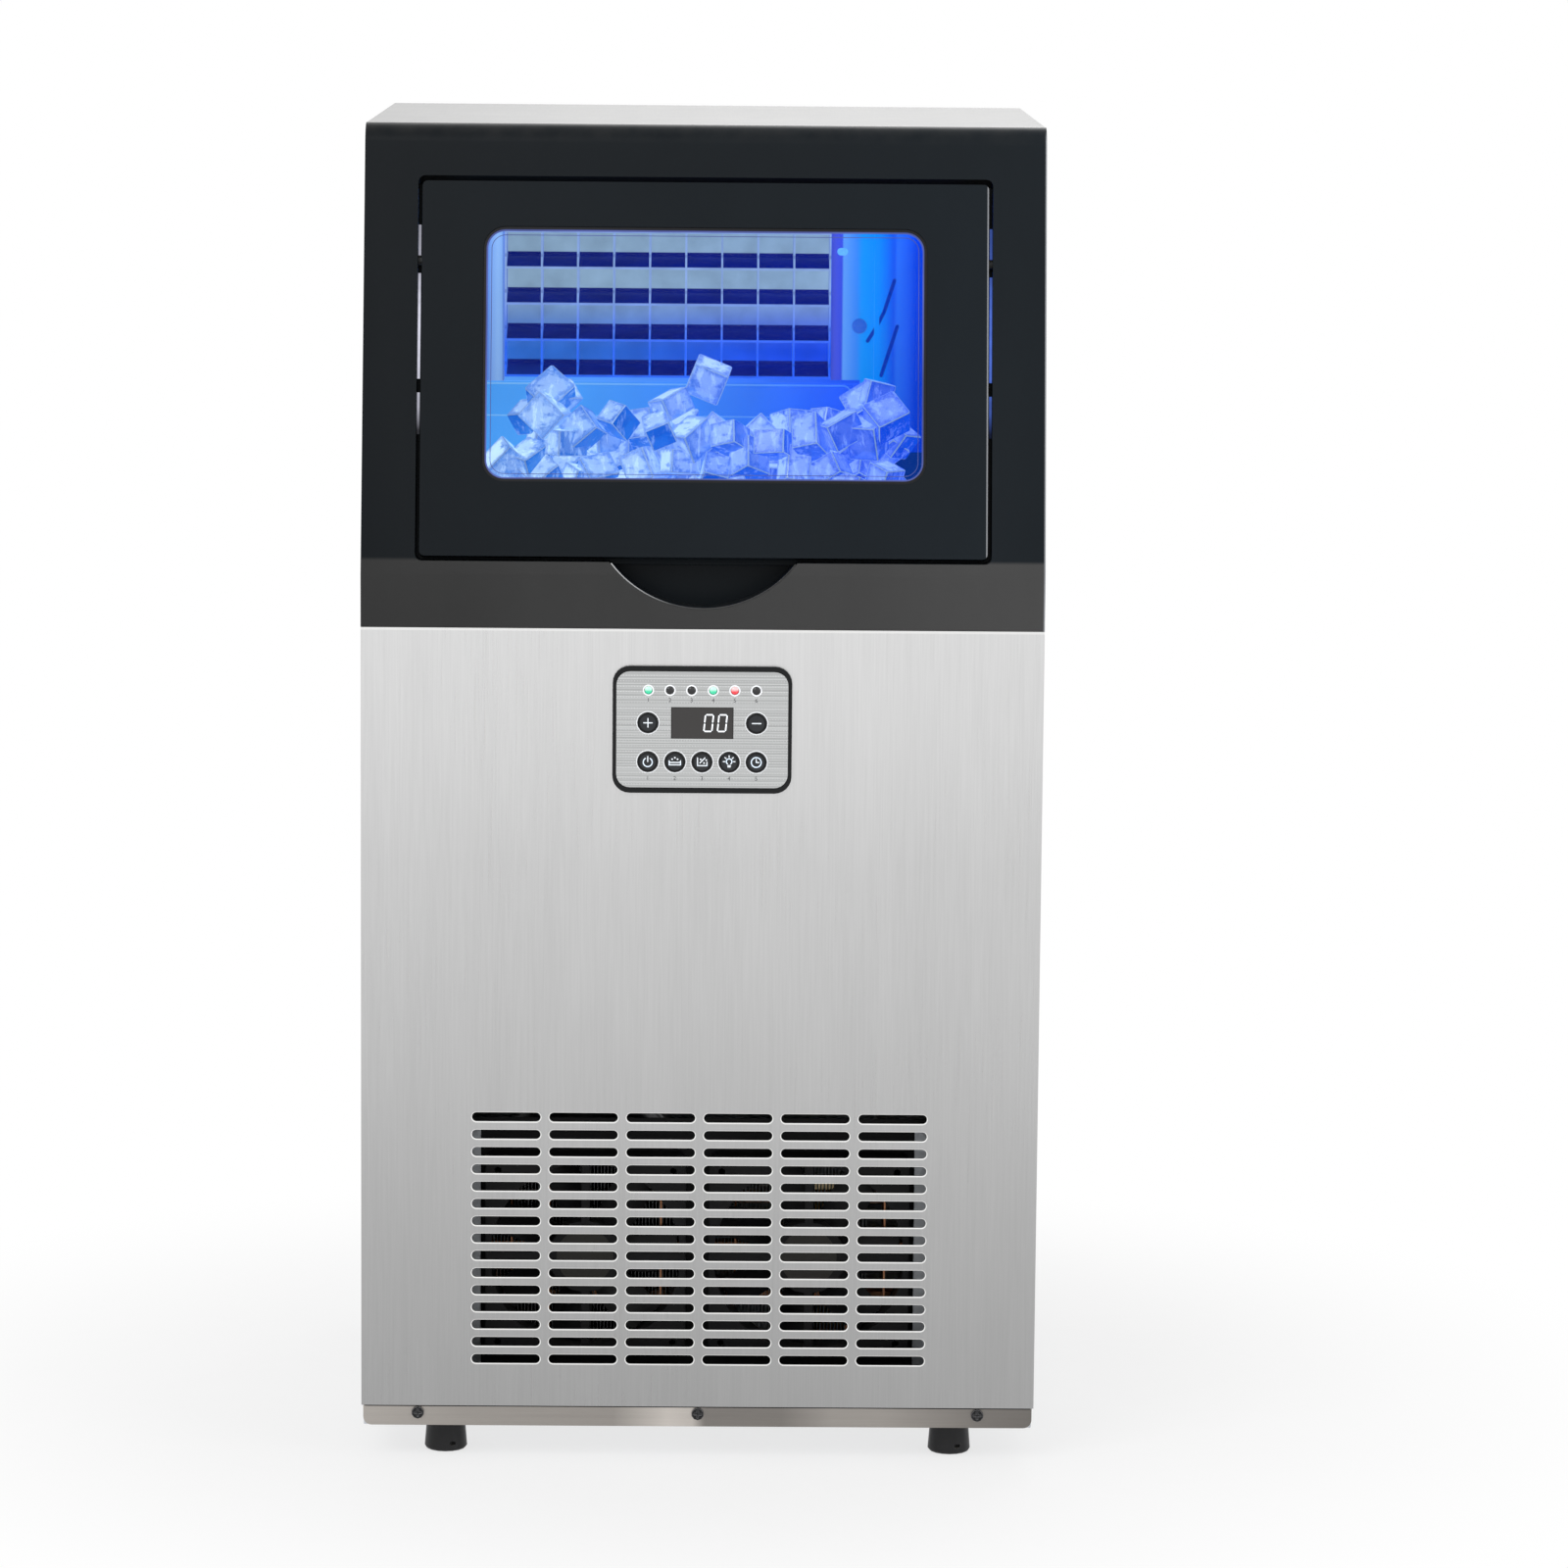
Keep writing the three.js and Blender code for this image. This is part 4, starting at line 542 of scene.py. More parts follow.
def steel(name, colour, along="Z", rough=0.3, metal=1.0, fade=1.0, top_highlight=1.0, glint=None, rims=None,
          tones=()):
    """Brushed or rolled sheet metal with its grain along one axis, with painted shade low down and a painted
    highlight high up.

    Glint is a painted highlight along a fold, as (axis, dull level, bright level); rims are the slots' measures,
    for a painted highlight round each slot;
    tones are painted shade and painted reflections along the sheet, as (place, shade)."""
    n = Finish(name)
    lines = {"Along_" + axis: ALONG if axis == along else ACROSS for axis in "XYZ"}
    grain = n.effect("brushed", Tone=0.05, **lines)
    dust = n.effect("dust", Amount=STEEL_DUST_SHARE)
    level = n.along("Z")
    # Painted shade darkens the sheet low down, and a painted highlight lightens it high up
    foot = n.by(n.span(level, *PAINTED_SHADE_LEVELS, fade, 1.0, True), n.span(level, *PAINTED_HIGHLIGHT_LEVELS, 1.0, top_highlight))
    base = n.times(n.times(colour, grain["Shade"]), n.grey(foot))
    # Painted shade and painted reflections along the sheet
    if tones:
        base = n.times(base, n.ramp(n.along("X"), [(at, (tone,) * 3) for at, tone in tones]))
    # A painted highlight along a fold
    if glint:
        axis, dull, bright = glint
        base = n.mix(n.span(n.along(axis), dull, bright), base, PAINTED_FOLD_HIGHLIGHT)
    # A painted highlight round each slot
    if rims:
        base = n.mix(n.effect("rim", **rims)["Mask"], base, PAINTED_RIM_HIGHLIGHT)
    return n.end(Metallic=metal, Base_Color=n.mix(dust["Mask"], base, STEEL_DUST),
                 Roughness=n.plus(rough - GRAIN_ROUGHNESS, grain["Roughness"]),
                 Normal=n.bumped(grain["Height"], SCRATCH, 0.6))


def zinc(name, colour, size=130.0):
    """Galvanised sheet with its crystals, this many for each metre."""
    n = Finish(name)
    cells = n.effect("spangle", Size=size, Contrast=0.15)
    dust = n.effect("dust", Amount=ZINC_DUST_SHARE)
    base = n.mix(dust["Mask"], n.times(colour, n.grey(cells["Shade"])), ZINC_DUST)
    return n.end(Metallic=0.85, Base_Color=base, Roughness=n.plus(ZINC_ROUGHNESS, cells["Roughness"]))


def moulded(name, colour, rough=0.45, grain=1400.0, depth=0.03 * MM, dust=0.1, coat=0.0, gloss=0.5,
            foot=None, lit=None):
    """Moulded plastic or an even paint, with its pebbled skin, wiping marks and a little dust.

    Foot gives the front plane another colour below a level, as a painted reflection: (level, depth, colour).
    Lit is a painted highlight on the right edge, as (place, colour), and paints the moulding darker at its left
    and paler at its right."""
    n = Finish(name)
    skin = n.effect("grain", Size=grain, Marks=0.12)
    fallen = n.effect("dust", Amount=dust)
    own = colour
    if foot:
        level, front, reflection_colour = foot
        # A painted reflection: the front plane below the level takes another colour
        above = n.span(n.along("Z"), level - MM, level + MM)
        behind = n.span(n.along("Y"), front, front + MM)
        aside = n.span(n.facing("Y"), -0.9, -0.6)
        own = n.mix(n.math("MAXIMUM", n.math("MAXIMUM", above, behind), aside), reflection_colour, own)
    base = n.times(own, n.grey(skin["Shade"]))
    if lit:
        side, highlight_colour = lit
        across = n.along("X")
        # A painted highlight on the right edge
        edge = n.by(n.span(across, side - MM, side - 0.6 * MM), n.span(n.facing("Y"), -0.5, -0.9))
        # Painted shade at the left of the moulding and painted light at its right
        base = n.times(base, n.grey(n.span(across, -0.2, 0.2, 0.75, 1.5)))
        base = n.mix(edge, base, highlight_colour)
    return n.end(Coat_Weight=coat, Coat_Roughness=0.15, Specular_IOR_Level=gloss,
                 Base_Color=n.mix(fallen["Mask"], base, PLASTIC_DUST),
                 Roughness=n.math("ADD", rough, skin["Roughness"], clamp=True),
                 Normal=n.bumped(skin["Height"], depth, 0.5))


def shining(name, colour, strength, rough=0.3, base=None):
    """A glowing finish with a slight unevenness: a lit lens, display or lamp, or a painted glow on a print, a spot
    or an edge that has no lamp.
    """
    n = Finish(name)
    return n.end(Roughness=rough, Emission_Strength=strength, Base_Color=base or colour,
                 Emission_Color=n.uneven(colour, 900.0, 0.85, 1.1))


def print_finish(name, colour):
    """Screen print: even, matt, with a trace of grain."""
    n = Finish(name)
    return n.end(Roughness=0.5, Base_Color=n.uneven(colour, 5000.0, 0.92, 1.05))


# Geometry Nodes


class Growth(Group):
    """A Geometry Nodes tree with a blank coming in and a finished mesh going out."""

    def __init__(self, name, **inputs):
        super().__init__("GeometryNodeTree", name, {**inputs, "Finish": ""})
        self.socket("Geometry", "OUTPUT", "Geometry")

    def end(self, geometry):
        """Realizes the copies, gives them their finish and closes the tree."""
        real = self.out("GeometryNodeRealizeInstances", {0: geometry})
        done = self.out("GeometryNodeSetMaterial", {0: real, "Material": self["Finish"]})
        self.add("NodeGroupOutput", {0: done})
        return self.tree

    def move(self, geometry, place=(0, 0, 0), turn=(0, 0, 0)):
        return self.out("GeometryNodeTransform", {0: geometry, "Translation": place, "Rotation": turn})

    def line(self, start, step):
        """Points from a start, each one step further: the tree's Count of them."""
        inputs = {"Count": self["Count"], "Start Location": start, "Offset": step}
        return self.out("GeometryNodeMeshLine", inputs, mode="OFFSET")

    def field(self):
        """Points in columns and rows, upright and above the lowest row."""
        sides = [self.by(self.less(self[many], 1), self[pitch])
                 for many, pitch in (("Columns", "Column pitch"), ("Rows", "Row pitch"))]
        grid = self.out("GeometryNodeMeshGrid", {"Size X": sides[0], "Size Y": sides[1],
                                                 "Vertices X": self["Columns"], "Vertices Y": self["Rows"]})
        level = self.plus(self["Lowest"], self.by(sides[1], 0.5))
        return self.move(grid, self.xyz(0.0, self["Face"], level), (math.pi / 2, 0, 0))

    def copies(self, points, piece, turn=(0, 0, 0), scale=(1, 1, 1)):
        return self.out("GeometryNodeInstanceOnPoints", {"Points": points, "Instance": piece,
                                                         "Rotation": turn, "Scale": scale})

    def keep(self, geometry, name, value, domain, kind):
        """Stores a value on the geometry, for its finish."""
        return self.out("GeometryNodeStoreNamedAttribute", {"Geometry": geometry, "Name": name,
                                                            "Value": value}, domain=domain, data_type=kind)

    def bar(self, width, height, length, corner, steps):
        """A closed bar with round corners, its length along Z."""
        outline = self.out("GeometryNodeCurvePrimitiveQuadrilateral", {"Width": width, "Height": height})
        profile = self.out("GeometryNodeFilletCurve", {"Curve": outline, "Count": steps, "Radius": corner,
                                                       "Limit Radius": True}, mode="POLY")
        half = self.by(length, 0.5)
        line = self.out("GeometryNodeCurvePrimitiveLine", {"Start": self.xyz(z=self.by(half, -1.0)),
                                                           "End": self.xyz(z=half)})
        return self.out("GeometryNodeCurveToMesh", {"Curve": line, "Profile Curve": profile,
                                                    "Fill Caps": True})


def grow(tree, blank, **values):
    """The plain mesh that a tree makes from a blank."""
    piece = put("blank", blank)
    change = piece.modifiers.new("grow", "NODES")
    change.node_group = TREES[tree]
    given = labelled(values)
    for item in TREES[tree].interface.items_tree:
        if item.in_out == "INPUT" and item.name in given:
            change[item.identifier] = given[item.name]
    mesh = evaluated(piece)
    bpy.data.objects.remove(piece)
    return mesh


FIELD = {"Columns": 1, "Rows": 1, "Column_pitch": 0.0, "Row_pitch": 0.0, "Lowest": 0.0, "Length": 0.0}


def slot_tree():
    """Rows and columns of round-ended slots cut through a sheet that stands upright."""
    nearly_half = 0.499
    g = Growth("Slot field", **FIELD, Height=0.0, Depth=0.0, Face=0.0)
    cutter = g.bar(g["Length"], g["Height"], g["Depth"], g.by(g["Height"], nearly_half), 8)
    cutters = g.copies(g.field(), g.move(cutter, turn=(math.pi / 2, 0, 0)))
    cutters = g.out("GeometryNodeRealizeInstances", {0: cutters})
    return g.end(g.out("GeometryNodeMeshBoolean", {"Mesh 1": g["Geometry"], "Mesh 2": cutters},
                       operation="DIFFERENCE"))


def louvre_tree():
    """Rows and columns of slanted blades."""
    edge_share = 0.2
    g = Growth("Louvre field", **FIELD, Drop=0.0, Thickness=0.0, Slant=0.0, Face=0.0)
    blade = g.bar(g["Length"], g["Drop"], g["Thickness"], g.by(g["Drop"], edge_share), 3)
    return g.end(g.copies(g.field(), g.move(blade, turn=g.xyz(g.plus(g["Slant"], math.pi / 2)))))


def fin_tree():
    """Equal thin plates at an even pitch along one direction."""
    g = Growth("Row of fins", Count=1, Start=(0, 0, 0), Step=(0, 0, 0), Width=0.0, Depth=0.0, Length=0.0,
               Corner=0.0)
    fin = g.bar(g["Width"], g["Depth"], g["Length"], g["Corner"], 3)
    return g.end(g.copies(g.line(g["Start"], g["Step"]), fin))


def spin_tree():
    """Copies of the blank set evenly round a centre, about the Y axis."""
    g = Growth("Round a centre", Count=1, Centre=(0, 0, 0))
    turn = g.by(g.out("GeometryNodeInputIndex"), g.math("DIVIDE", 2 * math.pi, g["Count"]))
    return g.end(g.copies(g.line(g["Centre"], (0, 0, 0)), g["Geometry"], g.xyz(0.0, turn, 0.0)))


# Turns of the ice cubes in radians, and their shares of the full side, from least to most
CUBE_TURNS = (-0.9, -0.8, -1.5), (0.9, 0.8, 1.5)
CUBE_SHARES = (0.68, 0.66, 0.66), (1.06, 1.04, 1.04)


def ice_tree():
    """Rounded cubes, each turned and sized a little differently, at the blank's points."""
    g = Growth("Ice cubes", Side=0.022, Round=0.0, Seed=1)
    side, flatter = g["Side"], 0.94
    cube = g.bar(side, side, g.by(side, flatter), g["Round"], 3)
    spot = g.out("ShaderNodeVectorMath", {0: g.out("GeometryNodeInputPosition"),
                                          "Scale": g.math("DIVIDE", 2.0, side)}, operation="SCALE")
    cube = g.keep(cube, "cube_place", spot, "POINT", "FLOAT_VECTOR")
    seeds = (g["Seed"], g.plus(g["Seed"], 1))
    turn, scale = (g.out("FunctionNodeRandomValue", {"Min": least, "Max": most, "Seed": seed},
                         data_type="FLOAT_VECTOR")
                   for (least, most), seed in zip((CUBE_TURNS, CUBE_SHARES), seeds))
    own = g.add("FunctionNodeRandomValue", {"Seed": g.plus(g["Seed"], 2)}, data_type="FLOAT").outputs[1]
    return g.end(g.keep(g.copies(g["Geometry"], cube, turn, scale), "own", own, "INSTANCE", "FLOAT"))


TREES = {"slots": slot_tree(), "louvres": louvre_tree(), "fins": fin_tree(), "spin": spin_tree(),
         "ice": ice_tree()}
NOTHING = bpy.data.meshes.new("nothing")


# Sizes and colours that can be changed


def size(label, text, millimetres):
    return bpy.props.FloatProperty(name=label, description=text, default=millimetres * MM, unit="LENGTH")


def tint(label, text, *rgb):
    return bpy.props.FloatVectorProperty(name=label, description=text, default=rgb, subtype="COLOR", size=3,
                                         min=0.0, max=1.0)


def count(label, text, number):
    return bpy.props.IntProperty(name=label, description=text, default=number, min=1)


def number(label, text, value):
    return bpy.props.FloatProperty(name=label, description=text, default=value)


class CasingSettings(bpy.types.PropertyGroup):
    """Sheet metal round the machine room and the bin."""

    steel: tint("Steel", "Colour of the brushed panels", 0.635, 0.635, 0.635)
    edge: tint("Cut edges", "Colour of the bright cut edges of the front panel", 0.88, 0.88, 0.86)
    strip: tint("Base strip", "Lightest colour of the strip under the front panel", 0.6, 0.56, 0.52)
    zinc: tint("Galvanised sheet", "Colour of the plates inside and behind", 0.55, 0.57, 0.6)
    sheet: size("Sheet", "Thickness of the panels", 1.0)
    fold: size("Fold", "Rounding of a folded edge", 0.9)
    cut: size("Cut edge", "Rounding of a cut edge", 0.4)
    slot_columns: count("Slot columns", "Air slots side by side", 6)
    slot_rows: count("Slot rows", "Air slots one above another", 15)
    slot_length: size("Slot length", "Length of an air slot", 40.6)
    slot_height: size("Slot height", "Height of an air slot", 5.5)
    slot_column_pitch: size("Column pitch", "Distance between slot columns", 45.7)
    slot_row_pitch: size("Row pitch", "Distance between slot rows", 10.45)
    slot_lowest: size("Lowest slot", "Level of the lowest row", 61.8)


class FrontSettings(bpy.types.PropertyGroup):
    """Black mouldings of the front: fascia, door and control panel."""

    plastic: tint("Plastic", "Colour of the fascia", 0.0055, 0.008, 0.0105)
    # The upright band under the door is lighter: a painted reflection
    band: tint("Lower band", "Colour of the fascia under the door", 0.045, 0.045, 0.045)
    door: tint("Door", "Colour of the door frame", 0.006, 0.009, 0.012)
    rounding: size("Rounding", "Rounding of the mouldings' edges", 1.0)
    pane: tint("Pane", "Colour of the clear pane", 0.9, 0.95, 1.0)
    # Colour of the painted highlight on the right edges of the fascia and the door
    lit: tint("Lit edges", "Colour of the edges that catch the light", 0.3, 0.31, 0.33)
    # Colour of the painted glow of the lines round the window
    seal: tint("Window line", "Colour of the lit line round the window", 0.2, 0.26, 0.85)
    plate: tint("Control plate", "Colour of the silver plate", 0.54, 0.55, 0.55)
    cap: tint("Buttons", "Colour of the button caps", 0.02, 0.022, 0.025)
    mark: tint("Marks", "Colour of the marks on the buttons", 0.8, 0.85, 0.9)


class IceRoomSettings(bpy.types.PropertyGroup):
    """Inside of the bin: light and ice."""

    # Strength of the painted blue light in the bin, which is given as a glow
    glow: number("Glow", "Strength of the blue light on what it falls on", 0.8)
    cube: size("Cube", "Side of an ice cube", 22.0)
    layers: count("Layers", "Layers of cubes in the heap", 5)
    seed: count("Seed", "Seed of the heap of ice", 7)


class StageSettings(bpy.types.PropertyGroup):
    """Floor, lights and camera."""

    floor: tint("Floor", "Colour of the floor", 0.83, 0.83, 0.83)
    world: number("World", "Strength of the surroundings on the object", 0.55)
    key: number("Key light", "Power of the main light in watts", 46.0)
    fill: number("Fill light", "Power of the side light in watts", 16.0)


class IceMakerSettings(bpy.types.PropertyGroup):
    """All sizes and colours of the ice maker."""

    casing: bpy.props.PointerProperty(type=CasingSettings)
    front: bpy.props.PointerProperty(type=FrontSettings)
    ice_room: bpy.props.PointerProperty(type=IceRoomSettings)
    stage: bpy.props.PointerProperty(type=StageSettings)


# Stage


LENS, SENSOR, CAMERA_REACH, CAMERA_PLACE = 142.7, 36.0, 100.0, (0.006, -3.8, 0.932)
CAMERA_PITCH, CAMERA_YAW, CAMERA_ROLL = math.radians(8.26), math.radians(0.67), math.radians(0.5)
LAMP_AIM = (0, 0, 0.4)
FLOOR_RADIUS = 9.0
# Distances between which the floor turns white, and how white it is at each
FLOOR_FADE, FLOOR_WHITE = (0.25, 0.65), (0.72, 1.0)
WHITE = (1, 1, 1)


def floor_finish(name, colour):
    """Floor that keeps the object's shadow and turns to white in the distance."""
    n = Finish(name)
    level_place = n.vector("MULTIPLY", n.place(), (1, 1, 0))
    away = n.add("ShaderNodeVectorMath", {0: level_place}, operation="LENGTH")
    seen = n.add("ShaderNodeLightPath").outputs
    direct = n.math("MAXIMUM", seen["Is Camera Ray"], n.by(seen["Is Glossy Ray"], 0.8))
    far = n.by(n.span(away.outputs["Value"], *FLOOR_FADE, *FLOOR_WHITE, True), direct)
    white = n.out("ShaderNodeEmission", {"Color": WHITE, "Strength": 1.0})
    blend = n.out("ShaderNodeMixShader", {0: far, 1: n.shader.outputs[0], 2: white})
    n.fill(n.tree.nodes["Material Output"], {0: blend})
    return n.end(Roughness=0.6, Specular_IOR_Level=0.2, Base_Color=n.uneven(colour, 40.0, 0.99, 1.01, 3.0))


def white_world(strength):
    """White for the camera, mirrors and glass; an even grey for all other light."""
    world = bpy.data.worlds.new("Studio")
    world.use_nodes = True
    n = Nodes(world.node_tree)
    seen = n.add("ShaderNodeLightPath").outputs
    direct = n.math("MAXIMUM", seen["Is Camera Ray"], n.math("MAXIMUM", seen["Is Glossy Ray"],
                                                            seen["Is Transmission Ray"]))
    level = n.span(direct, 0.0, 1.0, strength, 1.0)
    n.fill(n.tree.nodes["Background"], {"Color": WHITE, "Strength": level})
    bpy.context.scene.world = world


def area_lamp(name, power, place, width, height):
    """A soft square lamp that faces the object."""
    data = bpy.data.lights.new(name, "AREA")
    data.shape, data.size, data.size_y, data.energy = "RECTANGLE", width, height, power
    lamp = put(name, data)
    lamp.location = place
    lamp.rotation_euler = (Vector(LAMP_AIM) - Vector(place)).to_track_quat("-Z", "Y").to_euler()


class BuildStage(bpy.types.Operator):
    """Builds the floor, the lights and the camera"""

    bl_idname = "ice_maker.stage"
    bl_label = "Stage"

    def execute(self, context):
        settings = context.scene.ice_maker.stage
        sketch = Sketch()
        bmesh.ops.create_circle(sketch.bm, cap_ends=True, radius=FLOOR_RADIUS, segments=96)
        floor = put("floor", sketch.mesh())
        floor.data.materials.append(floor_finish("Pale floor", settings.floor))
        white_world(settings.world)
        area_lamp("Key lamp", settings.key, (-1.6, -2.6, 2.6), 2.2, 1.6)
        area_lamp("Fill lamp", settings.fill, (2.4, -1.8, 1.5), 1.6, 2.0)
        area_lamp("Back lamp", settings.fill, (0.6, 2.6, 2.4), 2.0, 1.4)
        data = bpy.data.cameras.new("Camera")
        data.lens, data.sensor_width, data.clip_end = LENS, SENSOR, CAMERA_REACH
        camera = put("Camera", data)
        turn = (Matrix.Rotation(-CAMERA_YAW, 4, "Z") @ Matrix.Rotation(math.pi / 2 - CAMERA_PITCH, 4, "X")
                @ Matrix.Rotation(CAMERA_ROLL, 4, "Z"))
        camera.matrix_world = Matrix.Translation(CAMERA_PLACE) @ turn
        context.scene.camera = camera
        context.scene.view_settings.view_transform = "Standard"
        return {"FINISHED"}


# Casing


# How far the front panel's edges fold back: sides, foot, top
RETURNS = (12 * MM, 10 * MM, 20 * MM)
# How far the control bezel's flange laps over the front panel, the play round its sleeve, the hole's corners
SLEEVE_LIP, SLEEVE_PLAY, SLEEVE_CORNER = 1.8 * MM, 0.3 * MM, 8.5 * MM
# The recess in the rear panel, and the holes in it as place across and radius
RECESS_HALF, RECESS_LOW, RECESS_HIGH, RECESS_DEPTH = 105 * MM, 56 * MM, 130 * MM, 34 * MM
REAR_HOLES = ((-70 * MM, 10.3 * MM), (0, 8.3 * MM), (70 * MM, 8.3 * MM))
LOUVRES = {"Columns": 3, "Rows": 9, "Column_pitch": 104 * MM, "Row_pitch": 18 * MM}
LOUVRE_LOWEST, LOUVRE_SLANT = 190 * MM, math.radians(-38)
CUT_DEPTH = 6 * MM
# Painted shade low on the panels and a painted highlight high up, as shares of their colour
PANEL_LIGHT = {"fade": 0.62, "top_highlight": 1.14}
# Painted shade and painted reflections along the base strip: place across in metres, share
STRIP_TONES = ((-0.2, 0.73), (-0.14, 0.59), (-0.05, 0.55), (-0.018, 1.0), (-0.003, 0.9), (0.004, 0.38),
               (0.05, 0.38), (0.08, 0.59), (0.11, 0.59), (0.17, 0.36), (0.2, 0.31))


def folded_panel(span, sheet):
    """The front sheet with its edges folded back, before anything is cut in it."""
    x0, x1, y0 = span.x0 + sheet, span.x1 - sheet, span.y0
    side, low, high = (y0 + reach for reach in RETURNS)
    face, *folds = (box_mesh(*sides) for sides in (
        (span.x0, span.x1, y0, y0 + sheet, span.z0, span.z1),
        (span.x0, x0, y0, side, span.z0, span.z1),
        (x1, span.x1, y0, side, span.z0, span.z1),
        (x0, x1, y0, low, span.z0, span.z0 + sheet),
        (x0, x1, y0, high, span.z1 - sheet, span.z1)))
    return carve(face, *folds, operation="UNION")


def front_blank(span, sheet):
    """The folded front sheet with the hole for the control panel's sleeve."""
    bezel, inset = Span("control_bezel"), SLEEVE_LIP - SLEEVE_PLAY
    hole = rounded(bezel.x0 + inset, bezel.x1 - inset, bezel.z0 + inset, bezel.z1 - inset, SLEEVE_CORNER)
    cutter = Sketch().slab(hole, span.y0 - SLEEVE_LIP, span.y0 + 2 * SLEEVE_LIP).mesh()
    return carve(folded_panel(span, sheet), cutter)


def rear_blank(span, sheet):
    """The rear sheet with its recess and the holes for the fittings, before the louvres are cut."""
    floor = span.y1 - RECESS_DEPTH
    skin, pocket, inside = (box_mesh(*sides) for sides in (
        (span.x0, span.x1, span.y1 - sheet, span.y1, span.z0, span.z1),
        (-RECESS_HALF - sheet, RECESS_HALF + sheet, floor - sheet, span.y1 - sheet / 2, RECESS_LOW - sheet,
         RECESS_HIGH + sheet),
        (-RECESS_HALF, RECESS_HALF, floor, span.y1 + sheet, RECESS_LOW, RECESS_HIGH)))
    level = (RECESS_LOW + RECESS_HIGH) / 2
    holes = (Sketch().slab(circle(x, level, radius, 32), floor - 3 * sheet, floor + sheet).mesh()
             for x, radius in REAR_HOLES)
    return carve(carve(carve(skin, pocket, operation="UNION"), inside), *holes)


class BuildCasing(bpy.types.Operator):
    """Builds the steel panels, the base strip with its screws, the rear panel and the pan"""

    bl_idname = "ice_maker.casing"
    bl_label = "Casing"

    def execute(self, context):
        casing = context.scene.ice_maker.casing
        front, top, seam, rear = (Span(node) for node in (
            "front_panel", "top_panel", "base_strip", "rear_panel"))
        slots = {"Columns": casing.slot_columns, "Rows": casing.slot_rows,
                 "Column_pitch": casing.slot_column_pitch, "Row_pitch": casing.slot_row_pitch,
                 "Lowest": casing.slot_lowest, "Length": casing.slot_length, "Height": casing.slot_height}
        # The side and front panels have painted shade low down and a painted highlight high up
        brushed = steel("Brushed steel", casing.steel, **PANEL_LIGHT)
        # The front panel gets a painted highlight round each slot and along its top fold
        face = steel("Brushed steel front", casing.steel, rims=slots, **PANEL_LIGHT,
                     glint=("Z", front.z1 - 1.7 * MM, front.z1 - 1.3 * MM))
        # The lid is the same steel at about half its colour, as painted shade that dims its glancing reflection,
        # with a painted highlight along its front fold
        lid = steel("Brushed steel lid", shaded(casing.steel, 0.49), along="Y", rough=0.4,
                    glint=("Y", top.y0 + 1.6 * MM, top.y0 + 1.2 * MM))
        # The base strip has painted shade and painted reflections along it
        strip = steel("Brushed steel strip", casing.strip, along="X", rough=0.38, tones=STRIP_TONES)
        edge = steel("Bright cut edge", casing.edge, rough=0.5, metal=0.0)
        plate = zinc("Galvanised sheet", casing.zinc)
        # Black finish of the painted shadow line under the front panel
        black = moulded("Black seam", (0.006, 0.006, 0.007), rough=0.6, gloss=0.1)
        screw = moulded("Black screw", (0.004, 0.004, 0.005), rough=0.25, gloss=0.3)
        # Painted highlights on the screws' rounded edges
        screw_glint = moulded("Black screw edges", (0.07, 0.07, 0.075), rough=0.2)

        panel = grow("slots", front_blank(front, casing.sheet), **slots, Depth=CUT_DEPTH, Face=front.y0,
                     Finish=face)
        dress("front_panel", [face, edge], panel, bevel=casing.cut, limit=40, edge_slot=1)
        # A black bar over the joint under the front panel: a painted shadow line
        shade = box_mesh(seam.x0 + MM, seam.x1 - MM, front.y0 + 0.4 * MM, front.y0 + 1.2 * MM,
                         seam.z1 - 0.4 * MM, front.z0 + 0.2 * MM)
        finish("strip_shadow_line", shade, black, slot="black_plastic", bevel=0.08 * MM)
        for side in SIDES:
            dress(side + "_side_panel", brushed, bevel=0.4 * MM)
        dress("top_panel", lid, bevel=casing.fold, segments=3)
        for node, sheet in (("base_strip", strip), ("base_pan", plate), ("deck", plate)):
            dress(node, sheet, bevel=casing.cut)
        back = grow("slots", rear_blank(rear, casing.sheet), **LOUVRES, Lowest=LOUVRE_LOWEST,
                    Length=84 * MM, Height=6 * MM, Depth=CUT_DEPTH, Face=rear.y1, Finish=plate)
        dress("rear_panel", plate, back, bevel=casing.cut, limit=40)
        for place in ("left", "centre", "right"):
            dress("strip_screw_" + place, [screw, screw_glint], bevel=0.35 * MM, segments=3, edge_slot=1)
        blades = grow("louvres", NOTHING, **LOUVRES, Lowest=LOUVRE_LOWEST + 2.5 * MM, Length=83 * MM,
                      Drop=8 * MM, Thickness=0.8 * MM, Slant=LOUVRE_SLANT, Face=rear.y1 - 4.4 * MM,
                      Finish=plate)
        finish("rear_louvres", blades, plate, slot="galvanised", bevel=0)
        return {"FINISHED"}


# Fascia


HINGE = joint("door_hinge")["pos_m"]
# The fascia's upright band ends here and its face leans back from there
BAND_TOP, LEAN = 0.530, math.atan(0.0557 / 0.260)
DOOR = Matrix.Translation(HINGE) @ Matrix.Rotation(-LEAN, 4, "X")
# Level at which the door's face passes its pins, and how far in front of them it lies
PIN_LEVEL, DOOR_FACE = 712 * MM, -8 * MM
# Lower edge of the door's opening, and depth of the band's front
OPENING_LOW, BAND_FRONT = 538 * MM, -188.9 * MM
# The stop behind the door: half its width, where it narrows, its top, and how wide its sides are
# below and above that
STOP_HALF, STOP_NECK, STOP_TOP = 168.7 * MM, 690 * MM, 757 * MM
STOP_REACH, STOP_NARROW = 7 * MM, 2.2 * MM
STOP_NEAR, STOP_FAR = DOOR_FACE + 11.3 * MM, DOOR_FACE + 14 * MM
